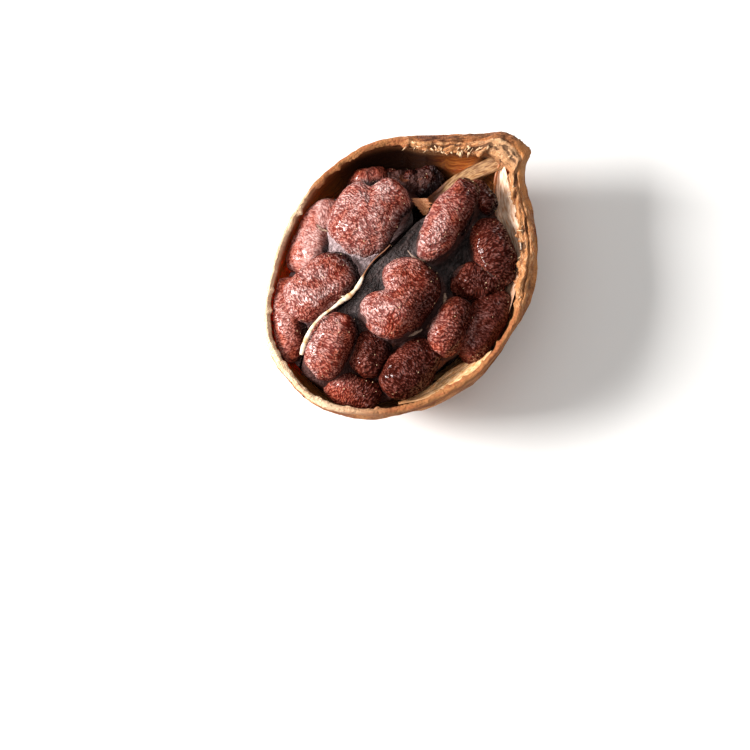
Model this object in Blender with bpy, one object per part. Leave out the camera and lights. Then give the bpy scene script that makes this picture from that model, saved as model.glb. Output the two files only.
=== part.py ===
"""Half of a dried Alpinia oxyphylla fruit, lying on its rounded husk with the seeds showing.

The husk is a pointed bowl, torn open along its length. Two clusters of seeds lie in it, each stuck
together by dried pulp, with the groove of the septum between them. A pale strap of septum runs from
the beak into that groove, and a loose fibre lies along the rest of it.

Frame: +X along the fruit towards its beak, +Z up, origin on the surface it rests on, under the
middle of its box. The lists below are in millimetres, in a plan seen from above. Their heights
are measured from the girth, the level where the husk is widest.
"""
import math

import bmesh
import bpy
import numpy as np
from mathutils import Matrix, Vector, noise

MM = 0.001
PLAN_SHIFT = Vector((0.0, -0.16, 0.0))   # centres the plan's box on the origin
GIRTH_HEIGHT = 6.27                      # height of the widest level over the surface

# The husk
HUSK_OUTLINE = (                         # x, y and the width of the torn edge, from the beak round
    (8.90, 0.00, 1.68), (8.76, 0.92, 1.60), (7.85, 1.86, 1.30), (6.45, 3.48, 1.02),
    (5.00, 5.00, 0.66), (3.30, 6.15, 0.50), (1.20, 6.74, 0.38), (-0.80, 6.72, 0.38),
    (-2.80, 6.30, 0.40), (-4.80, 5.45, 0.40), (-6.80, 4.25, 0.42), (-8.20, 2.55, 0.45),
    (-8.90, 0.00, 0.48), (-8.45, -1.95, 0.50), (-7.40, -3.60, 0.52), (-5.90, -4.95, 0.55),
    (-4.00, -5.92, 0.62), (-2.00, -6.42, 0.50), (0.50, -6.30, 0.48), (2.80, -5.80, 0.86),
    (5.00, -4.40, 0.92), (6.30, -3.00, 0.86), (7.35, -1.55, 0.95), (8.05, -0.98, 1.25),
    (8.74, -0.78, 1.52),
)
DEPTH_TO_WIDTH = 0.985                   # depth of the bowl for its half-width
EDGE_RISE = 0.42                         # torn edge over the girth
EDGE_CURL = 0.30                         # how far a thick edge leans in over its wall
BEAK_RISE = 0.35                         # extra height of the edge on the beak
BEAK_SPREAD = math.radians(13)
LUMP_SIZE, LUMP_RISE = 2.6, 0.13         # shallow lumps of the shrunken skin
FOOT_RADIUS = 1.45                       # the flat spot that the husk rests on
AROUND = 64                              # points round each ring of the husk
OUTER_RINGS, INNER_RINGS = 9, 8

# The seeds: cluster, x, y, height of the middle, half-length, half-width, half-height, turn and
# tilt in degrees, then the notch's direction in degrees, depth and width in radians
SEEDS = (
    ("upper", 0.44, 3.36, 0.20, 2.18, 1.86, 1.50, 8, 0, 34, 0.27, 0.30),
    ("upper", -1.82, 4.88, -0.75, 2.25, 1.25, 1.15, 12, 4, 0, 0.00, 0.30),
    ("upper", -3.87, 2.80, 0.10, 2.28, 1.28, 1.35, -11, 0, 0, 0.00, 0.30),
    ("upper", -6.23, 3.21, -0.60, 2.08, 1.00, 1.10, 47, 0, 0, 0.00, 0.30),
    ("upper", 2.36, 4.64, -1.60, 1.20, 0.80, 0.85, -30, 0, 0, 0.00, 0.30),
    ("upper", 3.30, 3.78, -1.90, 1.15, 0.95, 0.95, -50, 0, 0, 0.00, 0.30),
    ("upper", 4.42, 2.72, -2.00, 0.95, 0.80, 0.85, -20, 0, 200, 0.20, 0.40),
    ("lower", -6.01, 0.44, 0.25, 1.80, 1.15, 1.20, 14, 0, 0, 0.00, 0.30),
    ("lower", -4.87, -1.20, -0.30, 1.22, 0.98, 1.00, 10, 0, 0, 0.00, 0.30),
    ("lower", -1.86, -0.71, 0.66, 2.25, 1.68, 1.56, 2, 0, 98, 0.50, 0.27),
    ("lower", 2.87, 0.07, 0.72, 2.45, 1.00, 1.10, 9, 0, 0, 0.00, 0.30),
    ("lower", 5.30, -0.54, -0.50, 0.95, 0.56, 0.80, 70, 0, 0, 0.00, 0.30),
    ("lower", 3.35, -2.70, -0.40, 1.85, 1.05, 1.15, 54, 0, 0, 0.00, 0.30),
    ("lower", 1.73, -3.00, -0.50, 1.35, 0.94, 1.05, -42, 0, 0, 0.00, 0.30),
    ("lower", -1.14, -3.52, -0.05, 1.62, 0.98, 1.15, 14, 0, 0, 0.00, 0.30),
    ("lower", 0.05, -4.78, -0.90, 2.10, 1.10, 1.25, 10, 0, 0, 0.00, 0.30),
    ("lower", -4.21, -3.14, -0.50, 1.76, 1.13, 1.20, -4, 0, 0, 0.00, 0.30),
    ("lower", -6.90, -1.72, -1.10, 1.50, 0.98, 1.10, 108, 0, 0, 0.00, 0.30),
)
SEED_SQUARENESS = 2.5                    # 2 is an ellipsoid, more is boxier
SEED_SEGMENTS, SEED_RINGS = 20, 12
HUSK_GAP = 0.30                          # clusters stay this clear of the husk
SEPTUM_GAP = 0.30                        # and of each other

# The dried pulp of each cluster, anticlockwise round its plan, with the groove along one side
SEPTUM = ((-7.9, 1.05), (-7.4, 1.28), (-6.7, 1.60), (-6.0, 1.75), (-5.2, 1.76), (-4.4, 1.58),
          (-3.4, 1.34), (-2.5, 1.42), (-1.6, 1.58), (-0.8, 1.52), (0.3, 1.40), (1.8, 1.36))
UPPER_SIDE = ((2.5, 2.15), (3.4, 2.36), (4.4, 2.38), (4.9, 2.8), (4.2, 3.7), (2.8, 4.7),
              (1.0, 5.4), (-1.2, 5.6), (-3.4, 5.1), (-5.2, 4.4), (-6.9, 3.2), (-7.5, 1.9))
LOWER_SIDE = ((-8.0, 0.8), (-7.8, -0.5), (-7.2, -2.2), (-6.0, -3.6), (-4.4, -4.3), (-2.6, -4.5),
              (-0.9, -5.1), (0.8, -5.2), (2.2, -4.1), (3.7, -3.4), (4.8, -2.2), (5.2, -0.9),
              (5.2, 0.0), (4.2, 0.60), (3.0, 0.86), (2.3, 1.14))
UPPER_MIDDLE, LOWER_MIDDLE = (-0.9, 3.4), (-1.2, -1.3)
PULP_TOP, PULP_FALL = 0.70, 2.3          # height over the girth at the groove, and its fall outwards
PULP_RIDGE = 1.3                         # y of the groove
PULP_REACH = (8.4, 4.7)                  # where that fall ends, along and across
PULP_SINK = 2.0                          # how much deeper it lies in the upper half by the beak
PULP_FLOOR = -5.2                        # lowest level of the pulp
PULP_RINGS = 5

# The septum's strap: x, y, height, half-width and half-depth
STRAP = ((6.60, 0.30, -0.50, 0.30, 0.30), (6.20, 0.62, -0.56, 0.38, 0.40),
         (5.45, 1.12, -0.70, 0.42, 0.48), (4.70, 1.38, -0.90, 0.40, 0.50),
         (3.95, 1.52, -1.05, 0.34, 0.46), (3.38, 1.64, -0.78, 0.34, 0.50),
         (3.06, 1.68, 0.00, 0.38, 0.42), (2.98, 1.80, 0.55, 0.20, 0.16))
# The loose fibre: x, y and height
FIBRE = ((-7.35, 1.27, 0.86), (-6.96, 1.45, 1.08), (-6.14, 1.67, 1.25), (-5.32, 1.68, 1.32),
         (-4.48, 1.50, 1.34), (-3.82, 1.37, 1.34), (-3.43, 1.25, 1.32), (-2.90, 1.27, 1.32),
         (-2.50, 1.36, 1.34), (-2.10, 1.48, 1.32), (-1.60, 1.56, 1.28), (-0.53, 1.46, 1.24))
FIBRE_RADIUS = 0.14
FIBRE_POINTS = 26

COLOURS = {                              # base colour, roughness
    "husk": ((0.47, 0.25, 0.10), 0.80),
    "seed_cluster_upper": ((0.16, 0.035, 0.025), 0.45),
    "seed_cluster_lower": ((0.13, 0.028, 0.022), 0.45),
    "septum_strap": ((0.66, 0.44, 0.20), 0.60),
    "fibre_strand": ((0.78, 0.62, 0.42), 0.55),
}


def clear_scene():
    """Removes every object that the scene starts with."""
    for old in list(bpy.data.objects):
        bpy.data.objects.remove(old)


def finish_piece(name, bm, smooth_angle=40):
    """Turns a mesh in plan millimetres into a named object of the row frame, with its material."""
    if bm.calc_volume(signed=True) < 0:
        bmesh.ops.reverse_faces(bm, faces=bm.faces)
    for vert in bm.verts:
        vert.co = (vert.co + PLAN_SHIFT + Vector((0, 0, GIRTH_HEIGHT))) * MM
    mesh = bpy.data.meshes.new(name)
    bm.to_mesh(mesh)
    bm.free()
    mesh.shade_smooth()
    mesh.set_sharp_from_angle(angle=math.radians(smooth_angle))
    piece = bpy.data.objects.new(name, mesh)
    bpy.context.scene.collection.objects.link(piece)
    return piece


def give_material(piece):
    """Gives a piece its own plain material."""
    colour, roughness = COLOURS[piece.name]
    material = bpy.data.materials.new(piece.name)
    material.use_nodes = True
    shader = material.node_tree.nodes["Principled BSDF"]
    shader.inputs["Base Color"].default_value = (*colour, 1)
    shader.inputs["Roughness"].default_value = roughness
    shader.inputs["Metallic"].default_value = 0
    piece.data.materials.clear()
    piece.data.materials.append(material)


def smooth_curve(points, per_span, closed):
    """Catmull-Rom curve through rows of numbers, as rows of the same kind."""
    rows = np.array(points, float)
    count = len(rows)
    spans = count if closed else count - 1
    made = []
    for i in range(spans):
        if closed:
            a, b, c, d = (rows[(i + k) % count] for k in (-1, 0, 1, 2))
        else:
            a, b, c, d = (rows[min(max(i + k, 0), count - 1)] for k in (-1, 0, 1, 2))
        for step in range(per_span):
            t = step / per_span
            made.append(0.5 * (2 * b + (c - a) * t + (2 * a - 5 * b + 4 * c - d) * t ** 2
                               + (3 * b - a - 3 * c + d) * t ** 3))
    if not closed:
        made.append(rows[-1])
    return np.array(made)


class Bowl:
    """Half of a body with round cross-sections, open upwards, from its outline seen from above."""

    def __init__(self, loop):
        order = np.argsort(np.arctan2(loop[:, 1], loop[:, 0]))
        self.angles = np.arctan2(loop[:, 1], loop[:, 0])[order]
        self.radii = np.hypot(loop[:, 0], loop[:, 1])[order]
        upper = loop[loop[:, 1] >= 0]
        lower = loop[loop[:, 1] <= 0]
        self.upper = upper[np.argsort(upper[:, 0])]
        self.lower = lower[np.argsort(lower[:, 0])]

    def radius(self, angle):
        """Distance from the middle to the outline in a direction."""
        return np.interp(angle, self.angles, self.radii, period=2 * math.pi)

    def widths(self, x):
        """Half-widths of the outline at x on its upper and lower side."""
        return (np.interp(x, self.upper[:, 0], self.upper[:, 1], left=0, right=0),
                -np.interp(x, self.lower[:, 0], self.lower[:, 1], left=0, right=0))

    def depth(self, x):
        """Depth of the bowl along its middle line."""
        up, down = self.widths(x)
        return DEPTH_TO_WIDTH * (up + down) / 2

    def level(self, x, y):
        """Height of the surface below the girth at a place in plan."""
        up, down = self.widths(x)
        width = np.maximum(np.where(np.asarray(y) >= 0, up, down), 1e-6)
        return -self.depth(x) * np.sqrt(np.maximum(0, 1 - (y / width) ** 2))


def husk_bowls():
    """The husk's outer and inner surface, and the width of its torn edge by direction."""
    loop = smooth_curve(HUSK_OUTLINE, 24, closed=True)
    radii = np.hypot(loop[:, 0], loop[:, 1])
    inner = loop[:, :2] * ((radii - loop[:, 2]) / radii)[:, None]
    angles = np.arctan2(loop[:, 1], loop[:, 0])
    order = np.argsort(angles)
    edge = (angles[order], loop[order, 2])
    return Bowl(loop[:, :2]), Bowl(inner), edge


def skin_lumps(point):
    """How far the shrunken skin stands out at a point."""
    return LUMP_RISE * noise.noise(Vector(point) / LUMP_SIZE)


def edge_height(angle):
    """Height of the torn edge over the girth, by direction."""
    wave = 0.10 * math.sin(3 * angle + 0.6) + 0.07 * math.sin(7 * angle + 2.0)
    return EDGE_RISE + wave + BEAK_RISE * math.exp(-(angle / BEAK_SPREAD) ** 2)


def husk_rings(outer, inner, edge):
    """The husk's rings of points, from the foot up the outside, over the torn edge and down inside."""
    angles = [2 * math.pi * i / AROUND - math.pi for i in range(AROUND)]
    widths = [np.interp(a, *edge, period=2 * math.pi) for a in angles]
    rings = []
    for k in range(1, OUTER_RINGS + 1):
        reach = math.sin(math.pi / 2 * k / OUTER_RINGS)
        ring = []
        for angle in angles:
            radius = FOOT_RADIUS if k == 1 else outer.radius(angle) * reach
            x, y = radius * math.cos(angle), radius * math.sin(angle)
            z = -GIRTH_HEIGHT if k == 1 else float(outer.level(x, y))
            if k > 1:
                out = Vector((x, y, z)).normalized() * skin_lumps((x, y, z))
                x, y, z = x + out.x, y + out.y, max(z + out.z, 0.05 - GIRTH_HEIGHT)
            ring.append(Vector((x, y, z)))
        rings.append(ring)
    for share, lean, rise in ((0.0, 0.5, 0.6), (0.15, 1.0, 1.0), (0.6, 1.0, 1.15), (1.0, 1.0, 0.75)):
        ring = []
        for angle, width in zip(angles, widths):
            curl = EDGE_CURL * min(1, max(0, (width - 0.4) / 0.5))
            radius = outer.radius(angle) - lean * curl - share * (width - curl)
            high = edge_height(angle) * rise
            ring.append(Vector((radius * math.cos(angle), radius * math.sin(angle), high)))
        rings.append(ring)
    for k in range(INNER_RINGS, 0, -1):
        reach = math.sin(math.pi / 2 * k / (INNER_RINGS + 0.4))
        ring = []
        for angle in angles:
            radius = inner.radius(angle) * reach
            x, y = radius * math.cos(angle), radius * math.sin(angle)
            ring.append(Vector((x, y, float(inner.level(x, y)))))
        rings.append(ring)
    return rings


def skin_rings(bm, rings):
    """Joins rings of points into a closed skin, with a fan at the first and the last."""
    rows = [[bm.verts.new(point) for point in ring] for ring in rings]
    for low, high in zip(rows, rows[1:]):
        for i in range(len(low)):
            j = (i + 1) % len(low)
            bm.faces.new((low[i], low[j], high[j], high[i]))
    for row in (rows[0][::-1], rows[-1]):
        middle = bm.verts.new(sum((v.co for v in row), Vector()) / len(row))
        for i in range(len(row)):
            bm.faces.new((row[i], row[(i + 1) % len(row)], middle))


def make_husk(outer, inner, edge):
    """The half husk with its beak, torn edge and flat foot."""
    bm = bmesh.new()
    skin_rings(bm, husk_rings(outer, inner, edge))
    return finish_piece("husk", bm)


def keep_in_husk(points, inner):
    """Draws points that would meet the husk straight in towards the middle of its hollow."""
    middle = np.array((-0.6, 0.0, -0.6))

    def is_clear(where):
        up, down = inner.widths(where[:, 0])
        width = np.where(where[:, 1] >= 0, up, down) - HUSK_GAP
        depth = inner.depth(where[:, 0]) - HUSK_GAP
        inside = (width > 0.05) & (depth > 0.05) & (np.abs(where[:, 1]) < width)
        share = np.clip(where[:, 1] / np.maximum(width, 0.05), -1, 1)
        return inside & (where[:, 2] > -np.maximum(depth, 0) * np.sqrt(1 - share ** 2))

    low, high = np.zeros(len(points)), np.ones(len(points))
    clear = is_clear(points)
    for _ in range(22):
        half = (low + high) / 2
        good = is_clear(middle + (points - middle) * half[:, None])
        low = np.where(good, half, low)
        high = np.where(good, high, half)
    return np.where(clear[:, None], points, middle + (points - middle) * low[:, None])


def seed_point(direction, seed):
    """The point of a seed's surface in a unit direction, before it is turned and placed."""
    _, _, _, _, length, width, height, _, _, notch_at, notch_depth, notch_width = seed
    x, y, z = direction
    power = SEED_SQUARENESS
    radius = (abs(x) ** power + abs(y) ** power + abs(z) ** power) ** (-1 / power)
    off = math.remainder(math.atan2(y, x) - math.radians(notch_at), 2 * math.pi)
    flat = math.hypot(x, y)
    radius *= 1 - notch_depth * flat * math.exp(-(off / notch_width) ** 2)
    return Vector((x * length, y * width, z * height)) * radius


def make_seed(seed, inner, collection):
    """One seed as a closed shape in the collection of its cluster."""
    bm = bmesh.new()
    bmesh.ops.create_uvsphere(bm, u_segments=SEED_SEGMENTS, v_segments=SEED_RINGS, radius=1)
    turn = Matrix.Rotation(math.radians(seed[7]), 3, "Z") @ Matrix.Rotation(math.radians(seed[8]), 3, "Y")
    middle = Vector(seed[1:4])
    points = np.array([middle + turn @ seed_point(v.co.normalized(), seed) for v in bm.verts])
    for vert, point in zip(bm.verts, keep_in_husk(points, inner)):
        vert.co = point
    piece = finish_piece("seed", bm)
    bpy.context.scene.collection.objects.unlink(piece)
    collection.objects.link(piece)


def pulp_top(x, y):
    """Height of the pulp between the seeds."""
    fall = (x / PULP_REACH[0]) ** 2 + ((y - PULP_RIDGE) / PULP_REACH[1]) ** 2
    sink = min(1, max(0, (x - 2.0) / 1.3)) * min(1, max(0, (y - 1.2) / 0.6))
    return PULP_TOP - PULP_FALL * fall - PULP_SINK * sink


def make_pulp(name, outline, middle, inner):
    """The body of dried pulp that holds a cluster together, over its outline in plan."""
    bm = bmesh.new()
    middle = np.array(middle)
    rings = []
    for side in ("top", "bottom"):
        shares = [(k / PULP_RINGS) for k in range(1, PULP_RINGS + 1)]
        for share in shares if side == "top" else reversed(shares):
            places = middle + (outline - middle) * share
            heights = [pulp_top(x, y) for x, y in places]
            if side == "bottom":
                floor = np.full(len(places), PULP_FLOOR)
                heights = np.minimum(floor * (1 - 0.55 * share ** 2), heights - np.float64(0.8))
            rings.append(keep_in_husk(np.column_stack([places, heights]), inner))
    skin_rings(bm, [[Vector(point) for point in ring] for ring in rings])
    return finish_piece(name, bm)


def join_cluster(pulp, collection):
    """Fuses a cluster's seeds with its pulp into one body."""
    union = pulp.modifiers.new("seeds", "BOOLEAN")
    union.operation = "UNION"
    union.solver = "MANIFOLD"
    union.operand_type = "COLLECTION"
    union.collection = collection
    graph = bpy.context.evaluated_depsgraph_get()
    joined = bpy.data.meshes.new_from_object(pulp.evaluated_get(graph))
    pulp.modifiers.clear()
    pulp.data = joined
    joined.shade_smooth()
    joined.set_sharp_from_angle(angle=math.radians(40))
    for seed in list(collection.objects):
        bpy.data.objects.remove(seed)
    bpy.data.collections.remove(collection)


def make_cluster(side, outline, middle, inner):
    """A cluster of seeds of one locule: pulp with the seeds sunk into it."""
    collection = bpy.data.collections.new("seeds_" + side)
    bpy.context.scene.collection.children.link(collection)
    for seed in SEEDS:
        if seed[0] == side:
            make_seed(seed, inner, collection)
    pulp = make_pulp("seed_cluster_" + side, outline, middle, inner)
    join_cluster(pulp, collection)
    return pulp


def cluster_outlines():
    """Plan outlines of the two clusters, each half the gap away from the septum's line."""
    septum = smooth_curve(SEPTUM, 3, closed=False)
    upper = smooth_curve(UPPER_SIDE, 2, closed=False)
    lower = smooth_curve(LOWER_SIDE, 2, closed=False)
    gap = np.array((0, SEPTUM_GAP / 2))
    return np.vstack([upper, septum[1:] + gap]), np.vstack([lower, septum[::-1][:-1] - gap])


def make_strap():
    """The pale strap of septum from the beak to its torn end between two seeds."""
    bm = bmesh.new()
    path = smooth_curve(STRAP, 3, closed=False)
    rings = []
    for i, (x, y, z, half_width, half_depth) in enumerate(path):
        ahead = path[min(i + 1, len(path) - 1)][:3] - path[max(i - 1, 0)][:3]
        along = Vector(ahead).normalized()
        side = along.cross(Vector((0, 0, 1))).normalized()
        up = side.cross(along)
        corners = ((1, 1), (-1, 1), (-1, -1), (1, -1))
        rings.append([Vector((x, y, z)) + side * half_width * a + up * half_depth * b
                      for a, b in corners])
    skin_rings(bm, rings)
    return finish_piece("septum_strap", bm, 50)


def make_fibre():
    """The loose pale fibre that lies along the groove between the clusters."""
    path = smooth_curve(FIBRE, 6, closed=False)
    lengths = np.concatenate([[0], np.cumsum(np.linalg.norm(np.diff(path, axis=0), axis=1))])
    marks = np.linspace(0, lengths[-1], FIBRE_POINTS)
    curve = bpy.data.curves.new("fibre_strand", "CURVE")
    curve.dimensions = "3D"
    curve.bevel_depth = FIBRE_RADIUS * MM
    curve.bevel_resolution = 2
    curve.use_fill_caps = True
    spline = curve.splines.new("POLY")
    spline.points.add(FIBRE_POINTS - 1)
    for i, mark in enumerate(marks):
        place = Vector([np.interp(mark, lengths, path[:, axis]) for axis in range(3)])
        place = (place + PLAN_SHIFT + Vector((0, 0, GIRTH_HEIGHT))) * MM
        spline.points[i].co = (*place, 1)
        spline.points[i].radius = 0.45 + 0.55 * math.sin(math.pi * min(1, 2.2 * i / FIBRE_POINTS + 0.15) / 2)
    piece = bpy.data.objects.new("fibre_strand", curve)
    bpy.context.scene.collection.objects.link(piece)
    return piece


def main():
    """Builds the fruit's five pieces."""
    clear_scene()
    outer, inner, edge = husk_bowls()
    upper_outline, lower_outline = cluster_outlines()
    pieces = [
        make_husk(outer, inner, edge),
        make_cluster("upper", upper_outline, UPPER_MIDDLE, inner),
        make_cluster("lower", lower_outline, LOWER_MIDDLE, inner),
        make_strap(),
        make_fibre(),
    ]
    for piece in pieces:
        give_material(piece)


main()
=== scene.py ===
"""Looks of a torn-open half of a dried Alpinia oxyphylla fruit.

Its husk, seeds, dried pulp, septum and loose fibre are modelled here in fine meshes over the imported
frame. Places are in millimetres in the fruit's own plan: x towards the beak, y across, and z from
the girth, the level where the husk is widest. to_frame() turns them into the row frame.
"""

import itertools
import logging
import math
from dataclasses import dataclass, field
from enum import Enum
from typing import Any

import bmesh
import bpy
import numpy as np
from mathutils import Matrix, Vector, noise


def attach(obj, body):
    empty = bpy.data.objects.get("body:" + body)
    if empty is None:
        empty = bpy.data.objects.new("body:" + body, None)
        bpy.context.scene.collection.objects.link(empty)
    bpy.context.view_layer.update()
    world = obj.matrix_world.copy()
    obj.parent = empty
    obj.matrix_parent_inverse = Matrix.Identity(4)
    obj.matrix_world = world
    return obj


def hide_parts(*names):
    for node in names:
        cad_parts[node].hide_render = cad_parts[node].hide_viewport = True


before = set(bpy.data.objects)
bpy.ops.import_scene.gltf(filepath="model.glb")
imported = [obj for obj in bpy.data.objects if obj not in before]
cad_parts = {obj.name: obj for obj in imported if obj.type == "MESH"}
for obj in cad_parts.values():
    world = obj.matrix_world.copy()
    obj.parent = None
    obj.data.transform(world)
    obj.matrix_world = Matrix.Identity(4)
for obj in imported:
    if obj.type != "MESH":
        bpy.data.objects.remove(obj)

MM = 0.001
GIRTH_HEIGHT = 6.27                          # height of the girth over the floor
FRAME_SHIFT = np.array((0.0, -0.16, GIRTH_HEIGHT))
LOG = logging.getLogger("fruit")

Array = np.ndarray
Fields = dict[str, Array]

CORNER_PRIMES = (73856093, 19349663, 83492791)   # spread the corners of the noise's cells over its hash
SEED_PRIME, MIX_PRIME = 26544357, 668265263


def to_frame(points: Array) -> Array:
    """Turns plan millimetres into metres of the row frame."""
    return (np.asarray(points, float) + FRAME_SHIFT) * MM


def tone(code: str) -> tuple[float, float, float, float]:
    """Turns an sRGB hex colour into a linear one with alpha.

    Args:
        code: The colour as #rrggbb.

    Returns:
        Linear red, green, blue and an alpha of 1.
    """
    parts = [int(code[i:i + 2], 16) / 255 for i in (1, 3, 5)]
    linear = [c / 12.92 if c <= 0.04045 else ((c + 0.055) / 1.055) ** 2.4 for c in parts]
    return (linear[0], linear[1], linear[2], 1.0)


def ease(value: Array, low: float, high: float) -> Array:
    """Smooth step from 0 at low to 1 at high."""
    share = np.clip((np.asarray(value, float) - low) / (high - low), 0, 1)
    return share * share * (3 - 2 * share)


def ripples(points: Array, size: float, seed: int) -> Array:
    """Smooth random waves between about -1 and 1.

    Args:
        points: Rows of x, y, z in millimetres.
        size: Width of one wave in millimetres.
        seed: Picks one pattern.

    Returns:
        One value for each row.
    """
    scaled = points / size + seed * 7.31
    cell = np.floor(scaled).astype(np.int64)
    part = scaled - cell
    blend = part * part * part * (part * (part * 6 - 15) + 10)
    total = np.zeros(len(points))
    for corner in itertools.product((0, 1), repeat=3):
        at = cell + corner
        along, across, over = (at[:, k] * CORNER_PRIMES[k] for k in range(3))
        mixed = along ^ across ^ over ^ seed * SEED_PRIME
        mixed = (mixed ^ (mixed >> 15)) * MIX_PRIME & 0xFFFFFFFF
        mixed = mixed ^ (mixed >> 13)
        slope = np.stack([(mixed >> shift & 255) / 127.5 - 1 for shift in (0, 8, 16)], axis=1)
        weight = np.prod(np.where(corner, blend, 1 - blend), axis=1)
        total += weight * np.sum(slope * (part - corner), axis=1)
    return total * 1.4


def waves(points: Array, *layers: tuple[float, float, int]) -> Array:
    """Sum of ripples, each given by its height, its width in millimetres and its seed."""
    return sum(height * ripples(points, size, seed) for height, size, seed in layers)


def smooth_curve(points: Any, per_span: int, closed: bool) -> Array:
    """Catmull-Rom curve through rows of numbers.

    Args:
        points: Rows that the curve passes through.
        per_span: Steps from one row to the next.
        closed: Whether the last row leads back to the first.

    Returns:
        Rows along the curve.
    """
    rows = np.array(points, float)
    count = len(rows)
    made = []
    for i in range(count if closed else count - 1):
        near = [(i + k) % count if closed else min(max(i + k, 0), count - 1) for k in (-1, 0, 1, 2)]
        a, b, c, d = (rows[k] for k in near)
        for step in range(per_span):
            t = step / per_span
            made.append(0.5 * (2 * b + (c - a) * t + (2 * a - 5 * b + 4 * c - d) * t ** 2
                               + (3 * b - a - 3 * c + d) * t ** 3))
    if not closed:
        made.append(rows[-1])
    return np.array(made)


def even_rows(path: Array, count: int, closed: bool) -> Array:
    """Rows at even distances along a path of straight steps.

    Args:
        path: Rows along the path, each starting with a place in two or three numbers.
        count: Number of rows to return.
        closed: Whether the path ends where it starts, so that its last row is left out.

    Returns:
        Rows along the path.
    """
    steps = np.linalg.norm(np.diff(path[:, :3], axis=0), axis=1)
    lengths = np.concatenate([[0], np.cumsum(steps)])
    marks = np.linspace(0, lengths[-1], count, endpoint=not closed)
    return np.column_stack([np.interp(marks, lengths, path[:, k]) for k in range(path.shape[1])])


def even_curve(points: Any, count: int) -> Array:
    """Rows at even distances along a smooth open curve."""
    return even_rows(smooth_curve(points, 12, closed=False), count, closed=False)


def ring_faces(rings: int, around: int, first: int | None, last: int | None) -> list[list[int]]:
    """Faces between closed rings of points, with a fan at either end.

    Args:
        rings: Number of rings.
        around: Points on each ring, anticlockwise seen from the last.
        first: Index of the point that closes the first ring, if it is closed.
        last: Index of the point that closes the last ring, if it is closed.

    Returns:
        Vertex indices of each face.
    """
    index = np.arange(rings * around).reshape(rings, around)
    turned = np.roll(index, -1, axis=1)
    faces = np.stack([index[:-1], turned[:-1], turned[1:], index[1:]], axis=-1).reshape(-1, 4).tolist()
    if first is not None:
        faces += [[b, a, first] for a, b in zip(index[0].tolist(), turned[0].tolist())]
    if last is not None:
        faces += [[a, b, last] for a, b in zip(index[-1].tolist(), turned[-1].tolist())]
    return faces


def close_grid(name: str, grid: Array, fields: Fields, material: bpy.types.Material) -> bpy.types.Object:
    """Makes a piece of closed rings, with a fan and mean values at either end.

    Args:
        name: Name of the piece.
        grid: Points as rings by points by 3.
        fields: One value a point, in the same layout, by attribute name.
        material: What the piece is dressed in.

    Returns:
        The piece.
    """
    count = grid.shape[0] * grid.shape[1]
    points = np.vstack([grid.reshape(-1, 3), grid[0].mean(axis=0), grid[-1].mean(axis=0)])
    flat = {key: np.append(value.reshape(-1), (value[0].mean(), value[-1].mean()))
            for key, value in fields.items()}
    return make_piece(name, points, ring_faces(*grid.shape[:2], count, count + 1), flat, material)


def grid_normals(grid: Array) -> Array:
    """Unit normals of a grid of closed rings.

    Args:
        grid: Points as rings by points by 3.

    Returns:
        Normals in the same layout.
    """
    around = np.roll(grid, -1, axis=1) - np.roll(grid, 1, axis=1)
    normals = np.cross(around, np.gradient(grid, axis=0))
    return normals / np.maximum(np.linalg.norm(normals, axis=2, keepdims=True), 1e-9)


def shell_faces(rows: int, across: int) -> list[list[int]]:
    """Faces of a thin closed strip, whose rings run across its top and back under it.

    Args:
        rows: Number of rings along the strip.
        across: Points across its top, and as many below.

    Returns:
        Vertex indices of each face.
    """
    around = 2 * across
    faces = ring_faces(rows, around, None, None)
    last = (rows - 1) * around
    for i in range(across - 1):
        j = around - 1 - i
        faces.append([i + 1, i, j, j - 1])
        faces.append([last + i, last + i + 1, last + j - 1, last + j])
    return faces


def make_shell(grid: Array, thickness: float) -> tuple[Array, list[list[int]]]:
    """Gives a strip of points a thin closed shell.

    Args:
        grid: Points as rows by points across by 3.
        thickness: Thickness in millimetres, which thins out at the strip's sides.

    Returns:
        Rows of points, and the faces.
    """
    rows, across = grid.shape[:2]
    normal = np.cross(np.gradient(grid, axis=0), np.gradient(grid, axis=1))
    normal /= np.maximum(np.linalg.norm(normal, axis=2, keepdims=True), 1e-9)
    share = np.linspace(-1, 1, across)[None, :, None]
    half = normal * thickness / 2 * np.sqrt(1.02 - share ** 2)
    loop = np.concatenate([grid + half, (grid - half)[:, ::-1]], axis=1)
    return loop.reshape(-1, 3), shell_faces(rows, across)


def link(made: bpy.types.Object) -> bpy.types.Object:
    """Puts an object in the scene and returns it."""
    bpy.context.scene.collection.objects.link(made)
    return made


def make_piece(name: str, points: Array, faces: list[list[int]], fields: Fields,
               material: bpy.types.Material) -> bpy.types.Object:
    """Makes a smooth closed mesh piece with its material and its fields as point attributes.

    Args:
        name: Name of the piece.
        points: Rows of x, y, z in plan millimetres.
        faces: Vertex indices of each face.
        fields: One value or one vector a point, by attribute name.
        material: What the piece is dressed in.

    Returns:
        The new object, at the origin of the row frame.
    """
    mesh = bpy.data.meshes.new(name)
    mesh.from_pydata(to_frame(points).tolist(), [], faces)
    if signed_volume(mesh) < 0:
        mesh.flip_normals()
    for key, values in fields.items():
        values = np.asarray(values, np.float32)
        kind, slot = ("FLOAT", "value") if values.ndim == 1 else ("FLOAT_VECTOR", "vector")
        layer = mesh.attributes.new(key, kind, "POINT")
        layer.data.foreach_set(slot, values.reshape(-1))
    mesh.shade_smooth()
    mesh.materials.append(material)
    return link(bpy.data.objects.new(name, mesh))


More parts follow.
